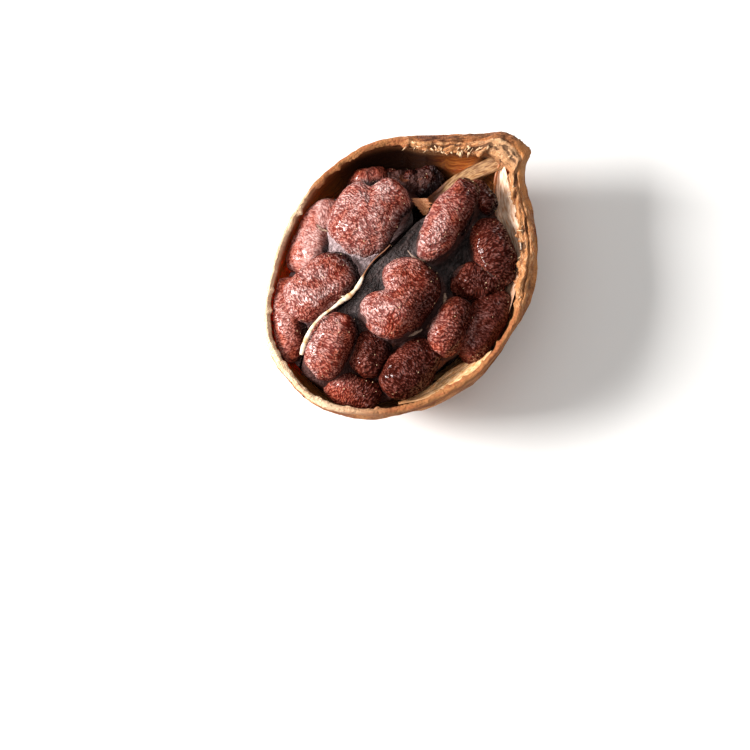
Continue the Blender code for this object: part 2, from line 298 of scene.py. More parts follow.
def signed_volume(mesh: bpy.types.Mesh) -> float:
    """Volume inside a mesh.

    Args:
        mesh: A closed mesh.

    Returns:
        Its volume, below 0 where its faces point inwards.
    """
    mesh.calc_loop_triangles()
    corners = np.empty(len(mesh.loop_triangles) * 3, np.int32)
    mesh.loop_triangles.foreach_get("vertices", corners)
    spots = np.empty(len(mesh.vertices) * 3, np.float32)
    mesh.vertices.foreach_get("co", spots)
    a, b, c = spots.reshape(-1, 3)[corners].reshape(-1, 3, 3).transpose(1, 0, 2)
    return float(np.sum(a * np.cross(b, c)))


def add_node(tree: bpy.types.NodeTree, kind: str, inputs: dict[Any, Any] | None = None,
             **settings: Any) -> bpy.types.Node:
    """Adds a node with its settings, values and links.

    Args:
        tree: The tree that it goes into.
        kind: The node's type name.
        inputs: By socket name or number, a value or the output that feeds it.
        settings: The node's own properties.

    Returns:
        The new node.
    """
    node = tree.nodes.new(kind)
    for key, value in settings.items():
        setattr(node, key, value)
    for key, value in (inputs or {}).items():
        if isinstance(value, bpy.types.NodeSocket):
            tree.links.new(value, node.inputs[key])
        else:
            node.inputs[key].default_value = value
    return node


class Cluster(Enum):
    """The locule that a seed belongs to."""

    UPPER = "upper"
    LOWER = "lower"


class Palette:
    """A material's node tree under construction, with the patterns that several finishes share."""

    def __init__(self, name: str) -> None:
        """Starts an empty material with a Principled shader.

        Args:
            name: Name of the material.
        """
        self.material = bpy.data.materials.new(name)
        self.material.use_nodes = True
        self.tree = self.material.node_tree
        self.tree.nodes.clear()
        self.shader = add_node(self.tree, "ShaderNodeBsdfPrincipled")
        add_node(self.tree, "ShaderNodeOutputMaterial", {"Surface": self.shader.outputs[0]})
        metres = add_node(self.tree, "ShaderNodeTexCoord").outputs["Object"]
        self.place = self.scale(metres, (1000, 1000, 1000))

    def field(self, name: str) -> bpy.types.NodeSocket:
        """A point attribute of the mesh, by name."""
        return add_node(self.tree, "ShaderNodeAttribute", attribute_name=name).outputs["Fac"]

    def scale(self, where: Any, factors: tuple[float, float, float]) -> bpy.types.NodeSocket:
        """Coordinates times a factor on each axis; one under 1 draws a pattern out."""
        return add_node(self.tree, "ShaderNodeVectorMath", {0: where, 1: factors},
                        operation="MULTIPLY").outputs[0]

    def mottle(self, size: float, detail: float = 2.0, where: Any = None,
               grit: float = 0.5) -> bpy.types.NodeSocket:
        """Cloudy noise with patches of a given size.

        Args:
            size: Width of a patch in millimetres.
            detail: Octaves of finer noise in it.
            where: Coordinates in millimetres, the object's own if left out.
            grit: How strong the finer octaves are.

        Returns:
            Values round one half.
        """
        node = add_node(self.tree, "ShaderNodeTexNoise", {
            "Vector": where or self.place, "Scale": 1 / size, "Detail": detail, "Roughness": grit})
        return node.outputs["Fac"]

    def stretch(self, x: Any, y: Any, z: Any, share: float) -> bpy.types.NodeSocket:
        """Coordinates that draw a pattern out along x and y, and not along z.

        Args:
            x: First coordinate in millimetres.
            y: Second coordinate in millimetres.
            z: Coordinate across the strands in millimetres.
            share: How much slower the pattern runs along the strands.

        Returns:
            The coordinates.
        """
        joined = add_node(self.tree, "ShaderNodeCombineXYZ", {0: x, 1: y, 2: z})
        return self.scale(joined.outputs[0], (share, share, 1))

    def between(self, value: Any, low: float, high: float) -> bpy.types.NodeSocket:
        """Maps low to 0 and high to 1, with a smooth step and clamped ends.

        Args:
            value: What is mapped.
            low: Value that becomes 0.
            high: Value that becomes 1.

        Returns:
            A share from 0 to 1.
        """
        node = add_node(self.tree, "ShaderNodeMapRange",
                        {"Value": value, "From Min": low, "From Max": high},
                        interpolation_type="SMOOTHSTEP")
        return node.outputs[0]

    def math(self, operation: str, a: Any, b: Any) -> bpy.types.NodeSocket:
        """One step of arithmetic, by its name in Blender."""
        return add_node(self.tree, "ShaderNodeMath", {0: a, 1: b}, operation=operation).outputs[0]

    def blend(self, share: Any, a: Any, b: Any) -> bpy.types.NodeSocket:
        """Mixes two colours, each a hex code or a socket.

        Args:
            share: How much of the second colour shows.
            a: First colour.
            b: Second colour.

        Returns:
            The mixed colour.
        """
        first, second = (tone(c) if isinstance(c, str) else c for c in (a, b))
        node = add_node(self.tree, "ShaderNodeMix", {0: share, 6: first, 7: second},
                        data_type="RGBA", clamp_factor=True)
        return node.outputs[2]

    def times(self, *shares: Any) -> bpy.types.NodeSocket:
        """The product of two or more values.

        Args:
            shares: The values, each a number or a socket.

        Returns:
            Their product.
        """
        product = shares[0]
        for share in shares[1:]:
            product = self.math("MULTIPLY", product, share)
        return product

    def layer(self, under: Any, over: Any, pattern: Any, low: float, high: float,
              amount: Any = None) -> bpy.types.NodeSocket:
        """Lays one colour over another where a pattern is high.

        Args:
            under: Colour below, as a hex code or a socket.
            over: Colour laid over it.
            pattern: What decides where.
            low: Value of the pattern where none shows.
            high: Value of the pattern where it shows most.
            amount: How much shows there, all of it if left out.

        Returns:
            The mixed colour.
        """
        share = self.between(pattern, low, high)
        return self.blend(share if amount is None else self.times(share, amount), under, over)

    def finish(self, colour: Any, roughness: Any, height: Any, depth: float,
               settings: dict[str, Any] | None = None) -> bpy.types.Material:
        """Feeds the shader and returns the material.

        Args:
            colour: Base colour.
            roughness: Roughness.
            height: Relief from 0 to 1 for the bump.
            depth: Height of that relief in millimetres.
            settings: Values or outputs for the shader's other sockets.

        Returns:
            The finished material.
        """
        bump = add_node(self.tree, "ShaderNodeBump",
                        {"Height": height, "Distance": depth * MM, "Strength": 1.0})
        feeds = {"Base Color": colour, "Roughness": roughness, "Normal": bump.outputs[0]}
        for key, value in {**feeds, **(settings or {})}.items():
            if isinstance(value, bpy.types.NodeSocket):
                self.tree.links.new(value, self.shader.inputs[key])
            else:
                self.shader.inputs[key].default_value = value
        return self.material


@dataclass(frozen=True)
class HuskFinish:
    """Dried fibrous fruit wall. Matt mottled skin, pale fibres where it tore, satin inner wall."""

    skin: str = "#d0864a"
    pale_grain_and_crest_highlight: str = "#dcaa74"
    skin_dark: str = "#8a4828"
    speck: str = "#3a1d14"
    ledge: str = "#b06c40"
    torn: str = "#c58450"
    torn_pale: str = "#ecbc8e"
    torn_warm: str = "#8e4722"
    # Dark streaks of the brown ledge, and the painted shade in the torn face's hollows.
    dark_streak_and_crevice_shade: str = "#3c1a0c"
    lip: str = "#f7d6b0"
    lip_warm: str = "#d08f5c"
    lip_tan: str = "#ad7142"
    lip_brown: str = "#a8623a"
    inner: str = "#d29c68"
    inner_streak: str = "#965e36"
    # Painted glow of light through the thin far wall, in two bright oranges.
    backlit_wall_glow: str = "#f08a3c"
    backlit_wall_glow_streak: str = "#b04a18"
    # Near black of the painted shade in the upper hollow beside the shrunken seeds.
    hollow_shade: str = "#1c0c07"

    def skin_colour(self, p: Palette, crumbs: Any, crest: Any) -> bpy.types.NodeSocket:
        """The outer skin: brown blotches, a painted highlight on its ridges, pale grains and dark specks.

        Args:
            p: The material under construction.
            crumbs: Pattern of the coarse grains.
            crest: How high a point of the relief is.

        Returns:
            The colour.
        """
        drawn = p.scale(p.place, (0.55, 1, 1))
        colour = p.layer(self.skin, self.skin_dark, p.mottle(1.5, 6, drawn, 0.62), 0.40, 0.64)
        colour = p.layer(colour, self.skin_dark, p.mottle(0.42, 5, drawn, 0.6), 0.50, 0.66, 0.6)
        # Painted highlight: the skin is lighter on the crests of its relief.
        colour = p.layer(colour, self.pale_grain_and_crest_highlight, crest, 0.45, 0.95, 0.25)
        colour = p.layer(colour, self.pale_grain_and_crest_highlight, crumbs, 0.52, 0.68, 0.45)
        return p.layer(colour, self.speck, p.mottle(0.07, 2), 0.60, 0.72, 0.55)

    def torn_colour(self, p: Palette, where: Any, coarse: Any, fine: Any, crest: Any,
                    thick: Any) -> bpy.types.NodeSocket:
        """The torn edge: pale fibres with painted shade in the hollows of its relief where it is thick, a
        cream or tan lip where not.

        Args:
            p: The material under construction.
            where: Coordinates x and y in millimetres.
            coarse: Pattern of the thick fibres.
            fine: Pattern of the fine ones.
            crest: How high a point of the relief is.
            thick: How thick the edge is, from 0 to 1.

        Returns:
            The colour.
        """
        x, y = where
        face = p.layer(self.torn, self.torn_warm, coarse, 0.44, 0.64, 0.75)
        face = p.layer(face, self.torn_pale, fine, 0.48, 0.66, 0.6)
        face = p.layer(face, self.torn_pale, x, 6.6, 8.2, 0.6)
        # Painted shade: the torn face darkens where its relief and its coarse fibres are low.
        dark = p.times(p.between(p.math("ADD", crest, coarse), 0.86, 0.55), thick)
        face = p.blend(p.times(dark, 0.8), face, self.dark_streak_and_crevice_shade)
        cream = p.layer(self.lip, self.lip_warm, coarse, 0.45, 0.7, 0.5)
        tan = p.layer(self.lip_tan, self.lip_brown, coarse, 0.42, 0.62)
        lip = p.blend(p.times(p.between(x, 0.5, -2.5), p.between(y, -4.5, -0.5)), tan, cream)
        return p.layer(lip, face, thick, 0.0, 0.5)

    def wall_colour(self, p: Palette, where: Any, streaks: Any) -> bpy.types.NodeSocket:
        """The inner wall: tan with brown streaks, a painted orange glow of light through the thin wall on
        the far side, and painted shade in the upper hollow beside the shrunken seeds.

        Args:
            p: The material under construction.
            where: Coordinates x and y in millimetres.
            streaks: Pattern of its streaks.

        Returns:
            The colour.
        """
        x, y = where
        near = p.layer(self.inner, self.inner_streak, streaks, 0.42, 0.60)
        # Painted light: bright oranges on the far side stand in for light shining through the thin wall.
        deep = p.layer(self.backlit_wall_glow, self.backlit_wall_glow_streak, streaks, 0.35, 0.7)
        wall = p.layer(near, deep, y, -2.6, 1.0)
        # Painted shade: the wall goes near black in the upper hollow beside the shrunken seeds; bare lifts
        # part of it by the strap.
        painted_hollow_shade = p.times(p.between(x, -2.4, 3.0), p.between(y, -0.5, 0.6))
        bare = p.times(p.between(x, 5.2, 6.2), p.between(y, 0.7, 1.2), 0.6)
        painted_hollow_shade = p.times(painted_hollow_shade, p.math("SUBTRACT", 1.0, bare), 0.97)
        return p.blend(painted_hollow_shade, wall, self.hollow_shade)

    def build(self) -> bpy.types.Material:
        """Makes the material, whose skin, torn edge and inner wall follow the mesh's fields.

        Returns:
            The material.
        """
        p = Palette("husk_dried_fibrous")
        torn, inside, grain, crest, thick = (
            p.field(name) for name in ("torn", "inside", "grain", "crest", "thick"))
        x, y, z = add_node(p.tree, "ShaderNodeSeparateXYZ", {0: p.place}).outputs
        coarse = p.mottle(0.20, 4, p.stretch(x, y, grain, 0.20), 0.6)
        fine = p.mottle(0.055, 2, p.stretch(x, y, grain, 0.16))
        streaks = p.mottle(0.17, 4, p.stretch(x, y, grain, 0.14), 0.6)
        crumbs = p.mottle(0.16, 4, None, 0.65)
        ledge = p.times(p.between(z, 6.32, 6.60), thick, p.between(y, -1.0, 0.2), 0.8)
        brown = p.layer(self.dark_streak_and_crevice_shade, self.ledge, coarse, 0.40, 0.60)
        skin = p.blend(ledge, self.skin_colour(p, crumbs, crest), brown)
        outside = p.blend(torn, skin, self.torn_colour(p, (x, y), coarse, fine, crest, thick))
        colour = p.blend(inside, outside, self.wall_colour(p, (x, y), streaks))
        rough = p.math("SUBTRACT", 0.84, p.times(inside, 0.34))
        glow = p.times(inside, p.between(y, 0.0, 2.0), p.between(x, 3.0, 0.0), 0.35)
        grains = p.times(p.between(crumbs, 0.34, 0.66), p.math("SUBTRACT", 1.0, inside))
        height = p.math("ADD", p.times(fine, 0.5), p.times(grains, 0.5))
        height = p.math("ADD", height, p.times(coarse, 0.5))
        return p.finish(colour, rough, height, 0.11, {
            "Specular IOR Level": 0.3, "Subsurface Weight": glow,
            "Subsurface Radius": (1.0, 0.75, 0.50), "Subsurface Scale": 0.5 * MM})


@dataclass(frozen=True)
class SeedFinish:
    """Dried aril drawn tight over a seed: red, finely wrinkled, with a dusty bloom on the crests that is
    partly painted sheen.
    """

    name: str = "seed_dried_aril"
    # Pale dusty bloom, which also serves as painted sheen on the side towards the key light.
    bloom_and_sheen: str = "#dab8b2"
    crest: str = "#aa4724"
    furrow: str = "#66190b"
    # Darker copy of the aril's colours: bare aril, and painted shade on seeds and flanks that lie away from
    # the light.
    bare_shaded_crest: str = "#68291b"
    bare_shaded_furrow: str = "#33100a"
    fringe: str = "#4c3c3c"
    # Near black of the painted shade on the lower flanks and the side away from the light.
    deep: str = "#1c0705"
    pulp_film_and_shade: str = "#191213"
    grain_size: float = 0.088                # millimetres across one wrinkle

    def build(self) -> bpy.types.Material:
        """Makes the material, whose wrinkles, bloom and painted shade on its flanks follow the mesh's
        fields.

        Returns:
            The material.
        """
        p = Palette(self.name)
        crest, dust_and_lighting, rise, depth = (p.field(n) for n in ("crest", "dust_and_lighting", "rise", "depth"))
        weave = add_node(p.tree, "ShaderNodeAttribute", attribute_name="weave").outputs["Vector"]
        stray = add_node(p.tree, "ShaderNodeTexNoise", {"Vector": weave, "Scale": 6.0, "Detail": 1.0})
        moved = add_node(p.tree, "ShaderNodeVectorMath",
                         {0: stray.outputs["Color"], 1: (0.16, 0.16, 0.16), 2: weave},
                         operation="MULTIPLY_ADD").outputs[0]
        drawn = p.scale(moved, (1.0, 0.55, 0.55))
        cells = add_node(p.tree, "ShaderNodeTexVoronoi", {"Vector": drawn, "Scale": 1 / self.grain_size})
        scales = p.math("SUBTRACT", 0.95, p.times(cells.outputs["Distance"], 1.15))
        strands = p.between(p.mottle(self.grain_size * 1.3, 1.0, drawn), 0.32, 0.68)
        wrinkle = p.math("ADD", scales, p.times(p.math("SUBTRACT", strands, 0.5), 0.30))
        wrinkle = p.math("ADD", wrinkle, p.times(p.math("SUBTRACT", crest, 0.5), 0.20))
        wrinkle = p.math("ADD", p.times(p.math("SUBTRACT", wrinkle, 0.5), depth), 0.5)
        cloud = p.times(p.between(p.mottle(0.9, 4, weave, 0.6), 0.40, 0.60), 0.72)
        # A lit copy and a darker copy of the aril's colours, picked by the dust share; the darker copy is
        # bare aril with painted shade.
        lit = p.layer(self.furrow, self.crest, wrinkle, 0.15, 0.65)
        bare = p.layer(self.bare_shaded_furrow, self.bare_shaded_crest, wrinkle, 0.20, 0.75)
        colour = p.layer(bare, lit, dust_and_lighting, 0.0, 0.45)
        # The bloom is partly painted sheen: the dust share behind it grows on the side that faces the key
        # light.
        bloom_and_sheen_share = p.times(p.between(dust_and_lighting, 0.0, 0.9), p.math("ADD", cloud, 0.24))
        fine = p.math("ADD", 0.14, p.times(p.between(wrinkle, 0.15, 0.85), 0.86))
        colour = p.blend(p.times(bloom_and_sheen_share, fine), colour, self.bloom_and_sheen)
        # Painted shade: the flank darkens towards the pulp, and higher up on the side away from the key
        # light.
        colour = p.layer(colour, self.deep, rise, 1.05, 0.15, 0.85)
        film = p.times(p.between(rise, 0.70, 0.20), p.between(wrinkle, 0.1, 0.9), 0.7)
        colour = p.blend(film, colour, self.fringe)
        # Charcoal of the pulp film where the seed meets it, reaching higher as painted shade on the side
        # away from the light.
        colour = p.layer(colour, self.pulp_film_and_shade, rise, 0.45, 0.0, 0.85)
        gloss = p.times(p.between(wrinkle, 0.15, 0.95), 0.45)
        return p.finish(colour, 0.42, wrinkle, 0.08, {
            "Specular IOR Level": gloss, "Coat Weight": p.times(gloss, 1.8), "Coat Roughness": 0.15})


@dataclass(frozen=True)
class PulpFinish:
    """Dried fruit pulp: a charcoal film stretched between the seeds, with a dull sheen."""

    film: str = "#1c1311"
    streak_and_highlight: str = "#4e3d3a"
    lilac_dust_and_sheen: str = "#bfa6a6"
    thin: str = "#4a2219"
    amber: str = "#8a4a24"

    def build(self) -> bpy.types.Material:
        """Makes the material, with a painted highlight on the crests of its folds, and redder where it is
        thin.

        Returns:
            The material.
        """
        p = Palette("pulp_dried_film")
        crest, groove, thin, dust_and_lighting = (p.field(n) for n in ("crest", "groove", "thin", "dust_and_lighting"))
        x, y, z = add_node(p.tree, "ShaderNodeSeparateXYZ", {0: p.place}).outputs
        wrinkles = p.mottle(0.17, 3)
        lines = p.times(p.between(p.mottle(0.10, 3, p.stretch(x, z, y, 0.14)), 0.46, 0.72), groove)
        colour = p.layer(self.film, self.streak_and_highlight, wrinkles, 0.46, 0.72, 0.55)
        # Painted highlight on the crests of the folds.
        colour = p.layer(colour, self.streak_and_highlight, crest, 0.5, 1.0, 0.4)
        colour = p.blend(p.times(lines, 0.6), colour, self.streak_and_highlight)
        colour = p.blend(p.times(thin, 0.75), colour, self.thin)
        spots = p.times(p.between(p.mottle(0.8, 2), 0.62, 0.72), p.between(thin, 0.1, 0.6), 0.4)
        colour = p.blend(spots, colour, self.amber)
        # The lilac lies more on the wrinkles' tops: partly dust, partly painted sheen.
        pale = p.math("ADD", 0.45, p.times(p.between(wrinkles, 0.35, 0.65), 0.5))
        colour = p.blend(p.times(dust_and_lighting, pale), colour, self.lilac_dust_and_sheen)
        height = p.math("ADD", p.between(wrinkles, 0.34, 0.66), p.times(lines, 0.5))
        return p.finish(colour, 0.58, height, 0.06, {"Specular IOR Level": 0.35})


@dataclass(frozen=True)
class MembraneFinish:
    """Dried membrane of the fruit: thin, pale, with soft lengthwise fibres and browned edges."""

    name: str
    pale: str
    warm: str
    brown: str

    def build(self) -> bpy.types.Material:
        """Makes the material, whose strands run along the mesh's own run field.

        Returns:
            The material.
        """
        p = Palette(self.name)
        run, across, edge = (p.field(n) for n in ("run", "across", "edge"))
        joined = add_node(p.tree, "ShaderNodeCombineXYZ", {0: run, 1: across, 2: 0.0})
        lines = p.mottle(0.12, 3, p.scale(joined.outputs[0], (0.25, 1, 1)))
        colour = p.layer(self.pale, self.warm, lines, 0.35, 0.68)
        colour = p.blend(p.times(edge, 0.9), colour, self.brown)
        return p.finish(colour, 0.45, lines, 0.04, {"Specular IOR Level": 0.5})


class Membrane(Enum):
    """The tissues that wear a membrane's finish, each with its name and its pale, warm and brown."""

    SEPTUM = ("septum_membrane", "#b4885a", "#70421c", "#552610")        # tan, dull and stained
    BROWNED = ("septum_browned", "#dca070", "#a85c2e", "#8a4018")        # the orange scrap on its end
    THREAD = ("septum_fibre", "#f4e6cf", "#c4935c", "#7a3f1c")           # the palest line in the picture
    LINING = ("lining_membrane", "#fbdabf", "#cc946c", "#98582a")        # grey-pink film by the beak
    LOW_LINING = ("lining_low", "#ffd2a0", "#d09050", "#96562a")         # warmer film at the lower edge
    SEAM = ("seam_browned", "#b06a34", "#8c4a20", "#5a2a12")             # the lining's brown fold
    TORN_ENDS = ("torn_fibre_ends", "#f0d2aa", "#c98f5a", "#8a4a20")     # pale tips on the torn edge
    FLAKE = ("film_flakes", "#b89a80", "#6f4a38", "#3a2018")             # dull bits between the seeds
    CRUMB = ("dried_pulp_crumbs", "#efd9b0", "#c79a62", "#7a4a28")       # bright specks on the seeds

    def material(self) -> bpy.types.Material:
        """Makes the tissue's material."""
        return MembraneFinish(*self.value).build()


class HalfForm:
    """Half of a body with round cross-sections, open upwards, from its outline seen from above."""

    depth_to_width = 0.985

    def __init__(self, loop: Array) -> None:
        """Sorts the outline by direction and by side.

        Args:
            loop: Rows of x and y round the outline.
        """
        turn = np.arctan2(loop[:, 1], loop[:, 0])
        order = np.argsort(turn)
        self.angles = turn[order]
        self.radii = np.hypot(loop[:, 0], loop[:, 1])[order]
        upper, lower = loop[loop[:, 1] >= 0], loop[loop[:, 1] <= 0]
        self.upper = upper[np.argsort(upper[:, 0])]
        self.lower = lower[np.argsort(lower[:, 0])]

    def radius(self, angle: Array) -> Array:
        """Distance from the middle to the outline in each direction."""
        return np.interp(angle, self.angles, self.radii, period=2 * math.pi)

    def widths(self, x: Array) -> tuple[Array, Array]:
        """Half-widths of the outline at x on its upper and lower side."""
        return (np.interp(x, self.upper[:, 0], self.upper[:, 1], left=0, right=0),
                -np.interp(x, self.lower[:, 0], self.lower[:, 1], left=0, right=0))

    def depth(self, x: Array) -> Array:
        """Depth of the bowl along its middle line."""
        up, down = self.widths(x)
        return self.depth_to_width * (up + down) / 2

    def level(self, x: Array, y: Array) -> Array:
        """Height of the surface at a place in plan, at or below the girth.

        Args:
            x: Places along the fruit.
            y: Places across it.

        Returns:
            Heights in millimetres.
        """
        up, down = self.widths(x)
        width = np.maximum(np.where(y >= 0, up, down), 1e-6)
        return -self.depth(x) * np.sqrt(np.maximum(0, 1 - (y / width) ** 2))


@dataclass
class Husk:
    """Half of the fibrous fruit wall with its beak, torn edge and flat foot."""

    outline: tuple = (                       # x, y and the width of the torn edge, from the beak round
        (8.90, 0.00, 1.68), (8.76, 0.92, 1.60), (7.85, 1.86, 1.30), (6.45, 3.48, 1.02),
        (5.00, 5.00, 0.66), (3.30, 6.15, 0.50), (1.20, 6.74, 0.38), (-0.80, 6.72, 0.38),
        (-2.85, 6.36, 0.44), (-4.88, 5.52, 0.44), (-6.88, 4.31, 0.47), (-8.30, 2.60, 0.50),
        (-8.90, 0.00, 0.48), (-8.45, -1.95, 0.50), (-7.40, -3.60, 0.52), (-5.90, -4.95, 0.55),
        (-4.00, -5.92, 0.62), (-2.00, -6.42, 0.50), (0.50, -6.30, 0.48), (2.80, -5.80, 0.86),
        (5.00, -4.40, 0.92), (6.30, -3.00, 0.86), (7.35, -1.55, 0.95), (8.05, -0.98, 1.25),
        (8.74, -0.78, 1.52),
    )
    around: int = 620
    outer_rings: int = 70
    edge_steps: int = 12                     # rings in each span of the edge's profile
    inner_rings: int = 40
    edge_profile: tuple = (                  # share of the width, lean and rise, from the girth in
        (0.00, 0.0, 0.0), (0.00, 0.5, 0.6), (0.15, 1.0, 1.0), (0.60, 1.0, 1.15), (1.00, 1.0, 0.75),
    )
    thinning: float = 0.28                   # how much thinner the thin side is where it tore
    edge_rise: float = 0.42
    swells: tuple = ((0.10, 3, 0.6), (0.07, 7, 2.0))   # long waves of the rim: height, number, phase
    edge_curl: float = 0.30
    beak_rise: float = 0.35
    beak_spread: float = math.radians(13)
    lump_size: float = 2.6
    lump_rise: float = 0.13
    ridge_count: int = 18                    # broken lengthwise ridges round the whole fruit
    ridge_rise: float = 0.10
    edge_waves: tuple = ((0.09, 1.3, 3), (0.07, 0.45, 4), (0.03, 0.16, 5))   # height, width, pattern
    pebbles: tuple = ((0.035, 0.55, 24), (0.016, 0.21, 25))
    crumbs: tuple = ((0.06, 0.42, 26), (0.03, 0.17, 28))
    groove_depth: float = 0.16               # split along the top of the thick edge
    groove_at: float = 0.34                  # where it runs, as a share of the edge's width
    groove_width: float = 0.09
    jags: tuple = ((0.34, 0.5, 8), (0.16, 0.17, 9))   # teeth of the edge's inner side
    rope_rise: float = 0.13
    strand_rise: float = 0.04
    hollow_middle: tuple = (-0.6, 0.0, -0.6)
    rim_circle: float = 8.0                  # radius on which the edge's patterns are laid out
    skin_span: float = 5.0                   # millimetres of grain in a radian of the skin
    crest_height: float = 0.14               # relief from the lowest to the highest shade
    least_room: float = 0.05                 # narrowest hollow that counts as room
    halvings: int = 22                       # steps in which a point is drawn off the wall
    outer: HalfForm = field(init=False)
    inner: HalfForm = field(init=False)

    def __post_init__(self) -> None:
        """Works out the outer and the inner form from the outline."""
        loop = smooth_curve(self.outline, 24, closed=True)
        radii = np.hypot(loop[:, 0], loop[:, 1])
        loop[:, 2] *= 1 - self.thinning * ease(loop[:, 2], 0.9, 0.5)
        self.outer = HalfForm(loop[:, :2])
        self.inner = HalfForm(loop[:, :2] * ((radii - loop[:, 2]) / radii)[:, None])
        turn = np.arctan2(loop[:, 1], loop[:, 0])
        order = np.argsort(turn)
        self._edge = (turn[order], loop[order, 2])

    def edge_height(self, angle: Array) -> Array:
        """Height of the torn edge over the girth, by direction."""
        wave = sum(high * np.sin(number * angle + phase) for high, number, phase in self.swells)
        return self.edge_rise + wave + self.beak_rise * np.exp(-(angle / self.beak_spread) ** 2)

    def thick_side(self, angle: Array) -> Array:
        """How much of the thick torn edge of the beak's side there is, by direction."""
        width = np.interp(angle, *self._edge, period=2 * math.pi)
        return ease(width, 0.45, 0.95)

    def skin(self, angles: Array) -> tuple[Array, Fields]:
        """The outer skin from the foot up to the girth.

        Args:
            angles: Directions of the points on each ring.

        Returns:
            The grid of points, and its fields.
        """
        steps = np.linspace(0.06, 1, self.outer_rings)
        reach = np.sin(math.pi / 2 * steps)[:, None]
        radius = self.outer.radius(angles)[None, :] * reach
        x, y = radius * np.cos(angles), radius * np.sin(angles)
        z = self.outer.level(x, y)
        grid = np.stack([x, y, z], axis=-1)
        out = grid / np.linalg.norm(grid, axis=2, keepdims=True)
        lumps = np.array([noise.noise(Vector(p) / self.lump_size) for p in grid.reshape(-1, 3)])
        grid = grid + out * (self.lump_rise * lumps.reshape(z.shape + (1,)))
        share = np.zeros_like(z)
        thick = np.broadcast_to(self.thick_side(angles), share.shape)
        return grid, {"share": share - 1, "torn": share, "inside": share, "thick": thick}

    def edge(self, angles: Array) -> tuple[Array, Fields]:
        """The torn edge, from the girth over the top and in.

        Args:
            angles: Directions of the points on each ring.

        Returns:
            The grid of points, and its fields.
        """
        profile = smooth_curve(self.edge_profile, self.edge_steps, closed=False)[1:]
        share, lean, rise = (profile[:, k][:, None] for k in range(3))
        width = np.interp(angles, *self._edge, period=2 * math.pi)[None, :]
        curl = self.edge_curl * np.clip((width - 0.4) / 0.5, 0, 1)
        radius = self.outer.radius(angles)[None, :] - lean * curl - share * (width - curl)
        rim = np.stack([np.cos(angles), np.sin(angles), np.zeros_like(angles)], axis=-1) * self.rim_circle
        thick = self.thick_side(angles)
        groove = self.groove_depth * thick * ease(ripples(rim, 2.2, 6), -0.55, 0.1)
        high = (self.edge_height(angles) + waves(rim, *self.edge_waves) * (0.5 + thick))[None, :] * rise
        high = high - groove[None, :] * np.exp(-((share - self.groove_at) / self.groove_width) ** 2)
        jag = sum(np.maximum(0, ripples(rim, size, pattern)) * depth for depth, size, pattern in self.jags)
        ragged = ease(share, 0.5, 0.95) * ease(rise, 0.7, 0.8)
        radius = radius - (jag * (0.7 + 0.7 * thick))[None, :] * ragged
        radius = radius - (0.05 * ripples(rim, 0.7, 12) * (1 + thick))[None, :] * ease(rise, 0, 0.6)
        x, y = radius * np.cos(angles), radius * np.sin(angles)
        grid = np.stack([x, y, np.broadcast_to(high, x.shape)], axis=-1)
        start = self.groove_at * (thick * ease(angles, -0.5, 0.1))[None, :]
        start = start + 0.05 * ripples(rim, 0.8, 11)[None, :]
        torn = ease(share - start, -0.03, 0.05)
        return grid, {"share": np.broadcast_to(share, x.shape), "torn": torn, "inside": np.zeros_like(x),
                      "thick": np.broadcast_to(thick, x.shape)}

    def torn_spots(self, count: int, pattern: int) -> tuple[Array, Array]:
        """Random spots along the ragged inner side of the torn edge, most of them where it is thick.

        Args:
            count: How many are tried.
            pattern: Seed of the choice.

        Returns:
            The spots, and the way that a fibre end points there.
        """
        chance = np.random.default_rng(pattern)
        angles = chance.uniform(-math.pi, math.pi, count * 3)
        likely = 0.15 + 0.85 * ease(angles, 0.0, 0.25) * ease(angles, 1.0, 0.7)
        angles = angles[chance.random(count * 3) < likely * self.thick_side(angles)][:count]
        grid, _ = self.edge(np.sort(angles))
        rows = chance.integers(round(0.74 * len(grid)), len(grid), len(angles))
        spots = grid[rows, np.arange(len(angles))]
        inward = -spots * (1, 1, 0) / np.linalg.norm(spots[:, :2], axis=1)[:, None]
        along = np.column_stack([-inward[:, 1], inward[:, 0], inward[:, 2]])
        aims = inward * 0.7 + along * chance.normal(0, 0.8, len(angles))[:, None]
        aims[:, 2] = chance.uniform(-0.6, 0.2, len(angles))
        return spots, aims

    def wall(self, angles: Array) -> tuple[Array, Fields]:
        """The inner wall from the edge down to the bottom.

        Args:
            angles: Directions of the points on each ring.

        Returns:
            The grid of points, and its fields.
        """
        reach = np.sin(math.pi / 2 * np.linspace(0.985, 0.12, self.inner_rings))[:, None]
        radius = self.inner.radius(angles)[None, :] * reach
        x, y = radius * np.cos(angles), radius * np.sin(angles)
        grid = np.stack([x, y, self.inner.level(x, y)], axis=-1)
        inside = np.broadcast_to(ease(np.arange(self.inner_rings), -2, 3)[:, None], x.shape)
        return grid, {"share": np.full_like(x, 2.0), "torn": np.ones_like(x), "inside": inside,
                      "thick": np.broadcast_to(self.thick_side(angles), x.shape)}

